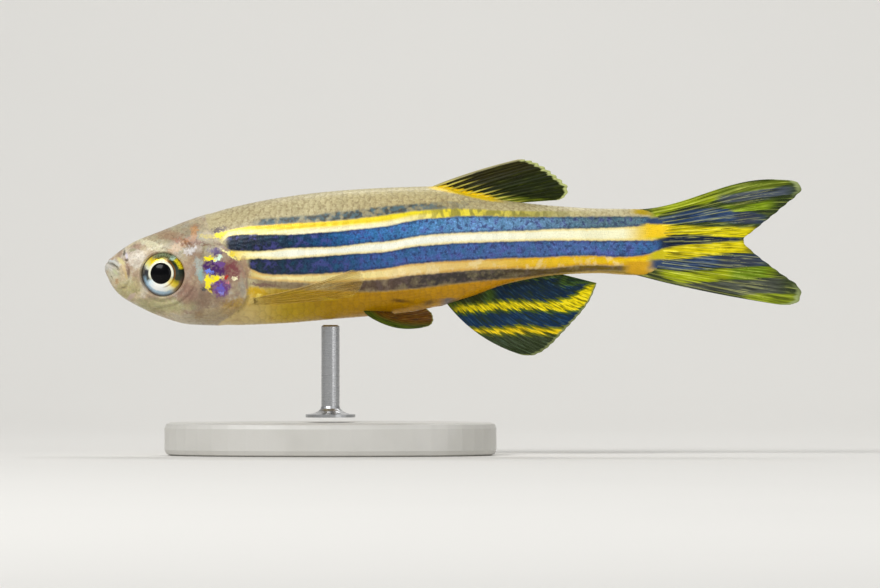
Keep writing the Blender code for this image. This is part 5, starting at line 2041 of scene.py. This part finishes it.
def make_backdrop(colour):
    """A pale floor that sweeps up into the wall behind the fish. It can't be seen from behind."""
    profile = [(FLOOR_FRONT, 0.0), (SWEEP_START, 0.0)]
    for turn in np.linspace(0.1, math.pi / 2, 14):
        rise = SWEEP_RADIUS * (1 - math.cos(turn))
        profile.append((SWEEP_START + SWEEP_RADIUS * math.sin(turn), rise))
    profile.append((SWEEP_START + SWEEP_RADIUS, WALL_HEIGHT))
    points = np.array([[(x, y, z) for x in (BACKDROP_HALF, -BACKDROP_HALF)] for y, z in profile])
    mesh = sheet_mesh("backdrop", points, (np.linspace(0, 1, len(profile)), np.array((0.0, 1.0))))
    backdrop = new_object("backdrop", mesh)
    material, w, shader = new_material("pale_floor", Roughness=0.75)
    cloud = w.noise(object_place(w), 30.0, 2.0)
    pale = w.blend(w.times(cloud, 0.06), tuple(colour), srgb(170, 168, 164))
    w.feed(shader.inputs["Base Color"], pale)
    behind = w.add("ShaderNodeNewGeometry").outputs["Backfacing"]
    w.feed(shader.inputs["Alpha"], w.minus(1.0, behind))
    mesh.materials.append(material)


def make_light(name, place, size, power):
    """A soft rectangle of light that faces the fish."""
    data = bpy.data.lights.new(name, "AREA")
    data.shape = "RECTANGLE"
    data.size, data.size_y = size
    data.energy = power
    light = bpy.data.objects.new(name, data)
    light.location = place
    light.rotation_euler = (Vector(FISH_MIDDLE) - Vector(place)).to_track_quat("-Z", "Y").to_euler()
    bpy.context.scene.collection.objects.link(light)


class DANIO_OT_stage(bpy.types.Operator):
    """Sets up the floor, the lights and the camera"""

    bl_idname = "danio.make_stage"
    bl_label = "Stage"

    def execute(self, context):
        scene, settings = context.scene, context.scene.danio_stage
        make_backdrop(settings.floor_colour)
        for name, place, size, power in LIGHTS:
            make_light(name, place, size, getattr(settings, power))
        world = bpy.data.worlds.new("studio")
        world.use_nodes = True
        background = world.node_tree.nodes["Background"]
        background.inputs["Color"].default_value = (*ROOM_COLOUR, 1.0)
        background.inputs["Strength"].default_value = ROOM_STRENGTH
        scene.world = world
        scene.view_settings.view_transform = "Standard"
        data = bpy.data.cameras.new("camera")
        data.sensor_width = SENSOR_WIDTH
        data.lens = data.sensor_width * settings.distance / settings.view_width
        data.clip_start, data.clip_end = 0.01, 5.0
        camera = bpy.data.objects.new("camera", data)
        camera.location = (settings.view_x, -settings.distance, settings.view_z)
        camera.rotation_euler = (math.pi / 2, 0.0, 0.0)
        scene.collection.objects.link(camera)
        scene.camera = camera
        return {"FINISHED"}


class DANIO_PT_sidebar(bpy.types.Panel):
    """The settings of every piece and the buttons that build them"""

    bl_idname = "DANIO_PT_sidebar"
    bl_label = "Zebra Danio"
    bl_space_type = "VIEW_3D"
    bl_region_type = "UI"
    bl_category = "Zebra Danio"

    def draw(self, context):
        for operator, groups in PIECES:
            box = self.layout.box()
            for group in groups:
                settings = getattr(context.scene, group)
                for name in settings.__annotations__:
                    box.prop(settings, name)
            box.operator(operator.bl_idname)


PIECES = (
    (DANIO_OT_body, ("danio_body", "danio_scales")),
    (DANIO_OT_eyes, ("danio_eyes",)),
    (DANIO_OT_fins, ("danio_fins",)),
    (DANIO_OT_stand, ()),
    (DANIO_OT_stage, ("danio_stage",)),
)
SETTINGS = {
    "danio_body": DanioBodySettings,
    "danio_scales": DanioScaleSettings,
    "danio_eyes": DanioEyeSettings,
    "danio_fins": DanioFinSettings,
    "danio_stage": DanioStageSettings,
}
CLASSES = (*SETTINGS.values(), *(operator for operator, _ in PIECES), DANIO_PT_sidebar)


def register():
    """Makes the operators, the panel and the settings known to Blender."""
    for cls in CLASSES:
        bpy.utils.register_class(cls)
    for name, cls in SETTINGS.items():
        setattr(bpy.types.Scene, name, PointerProperty(type=cls))


def unregister():
    """Takes back what register made known."""
    for name in SETTINGS:
        delattr(bpy.types.Scene, name)
    for cls in reversed(CLASSES):
        bpy.utils.unregister_class(cls)


def main():
    """Builds everything in order."""
    register()
    for operator, _ in PIECES:
        group, name = operator.bl_idname.split(".")
        getattr(getattr(bpy.ops, group), name)()


if __name__ == "__main__":
    main()
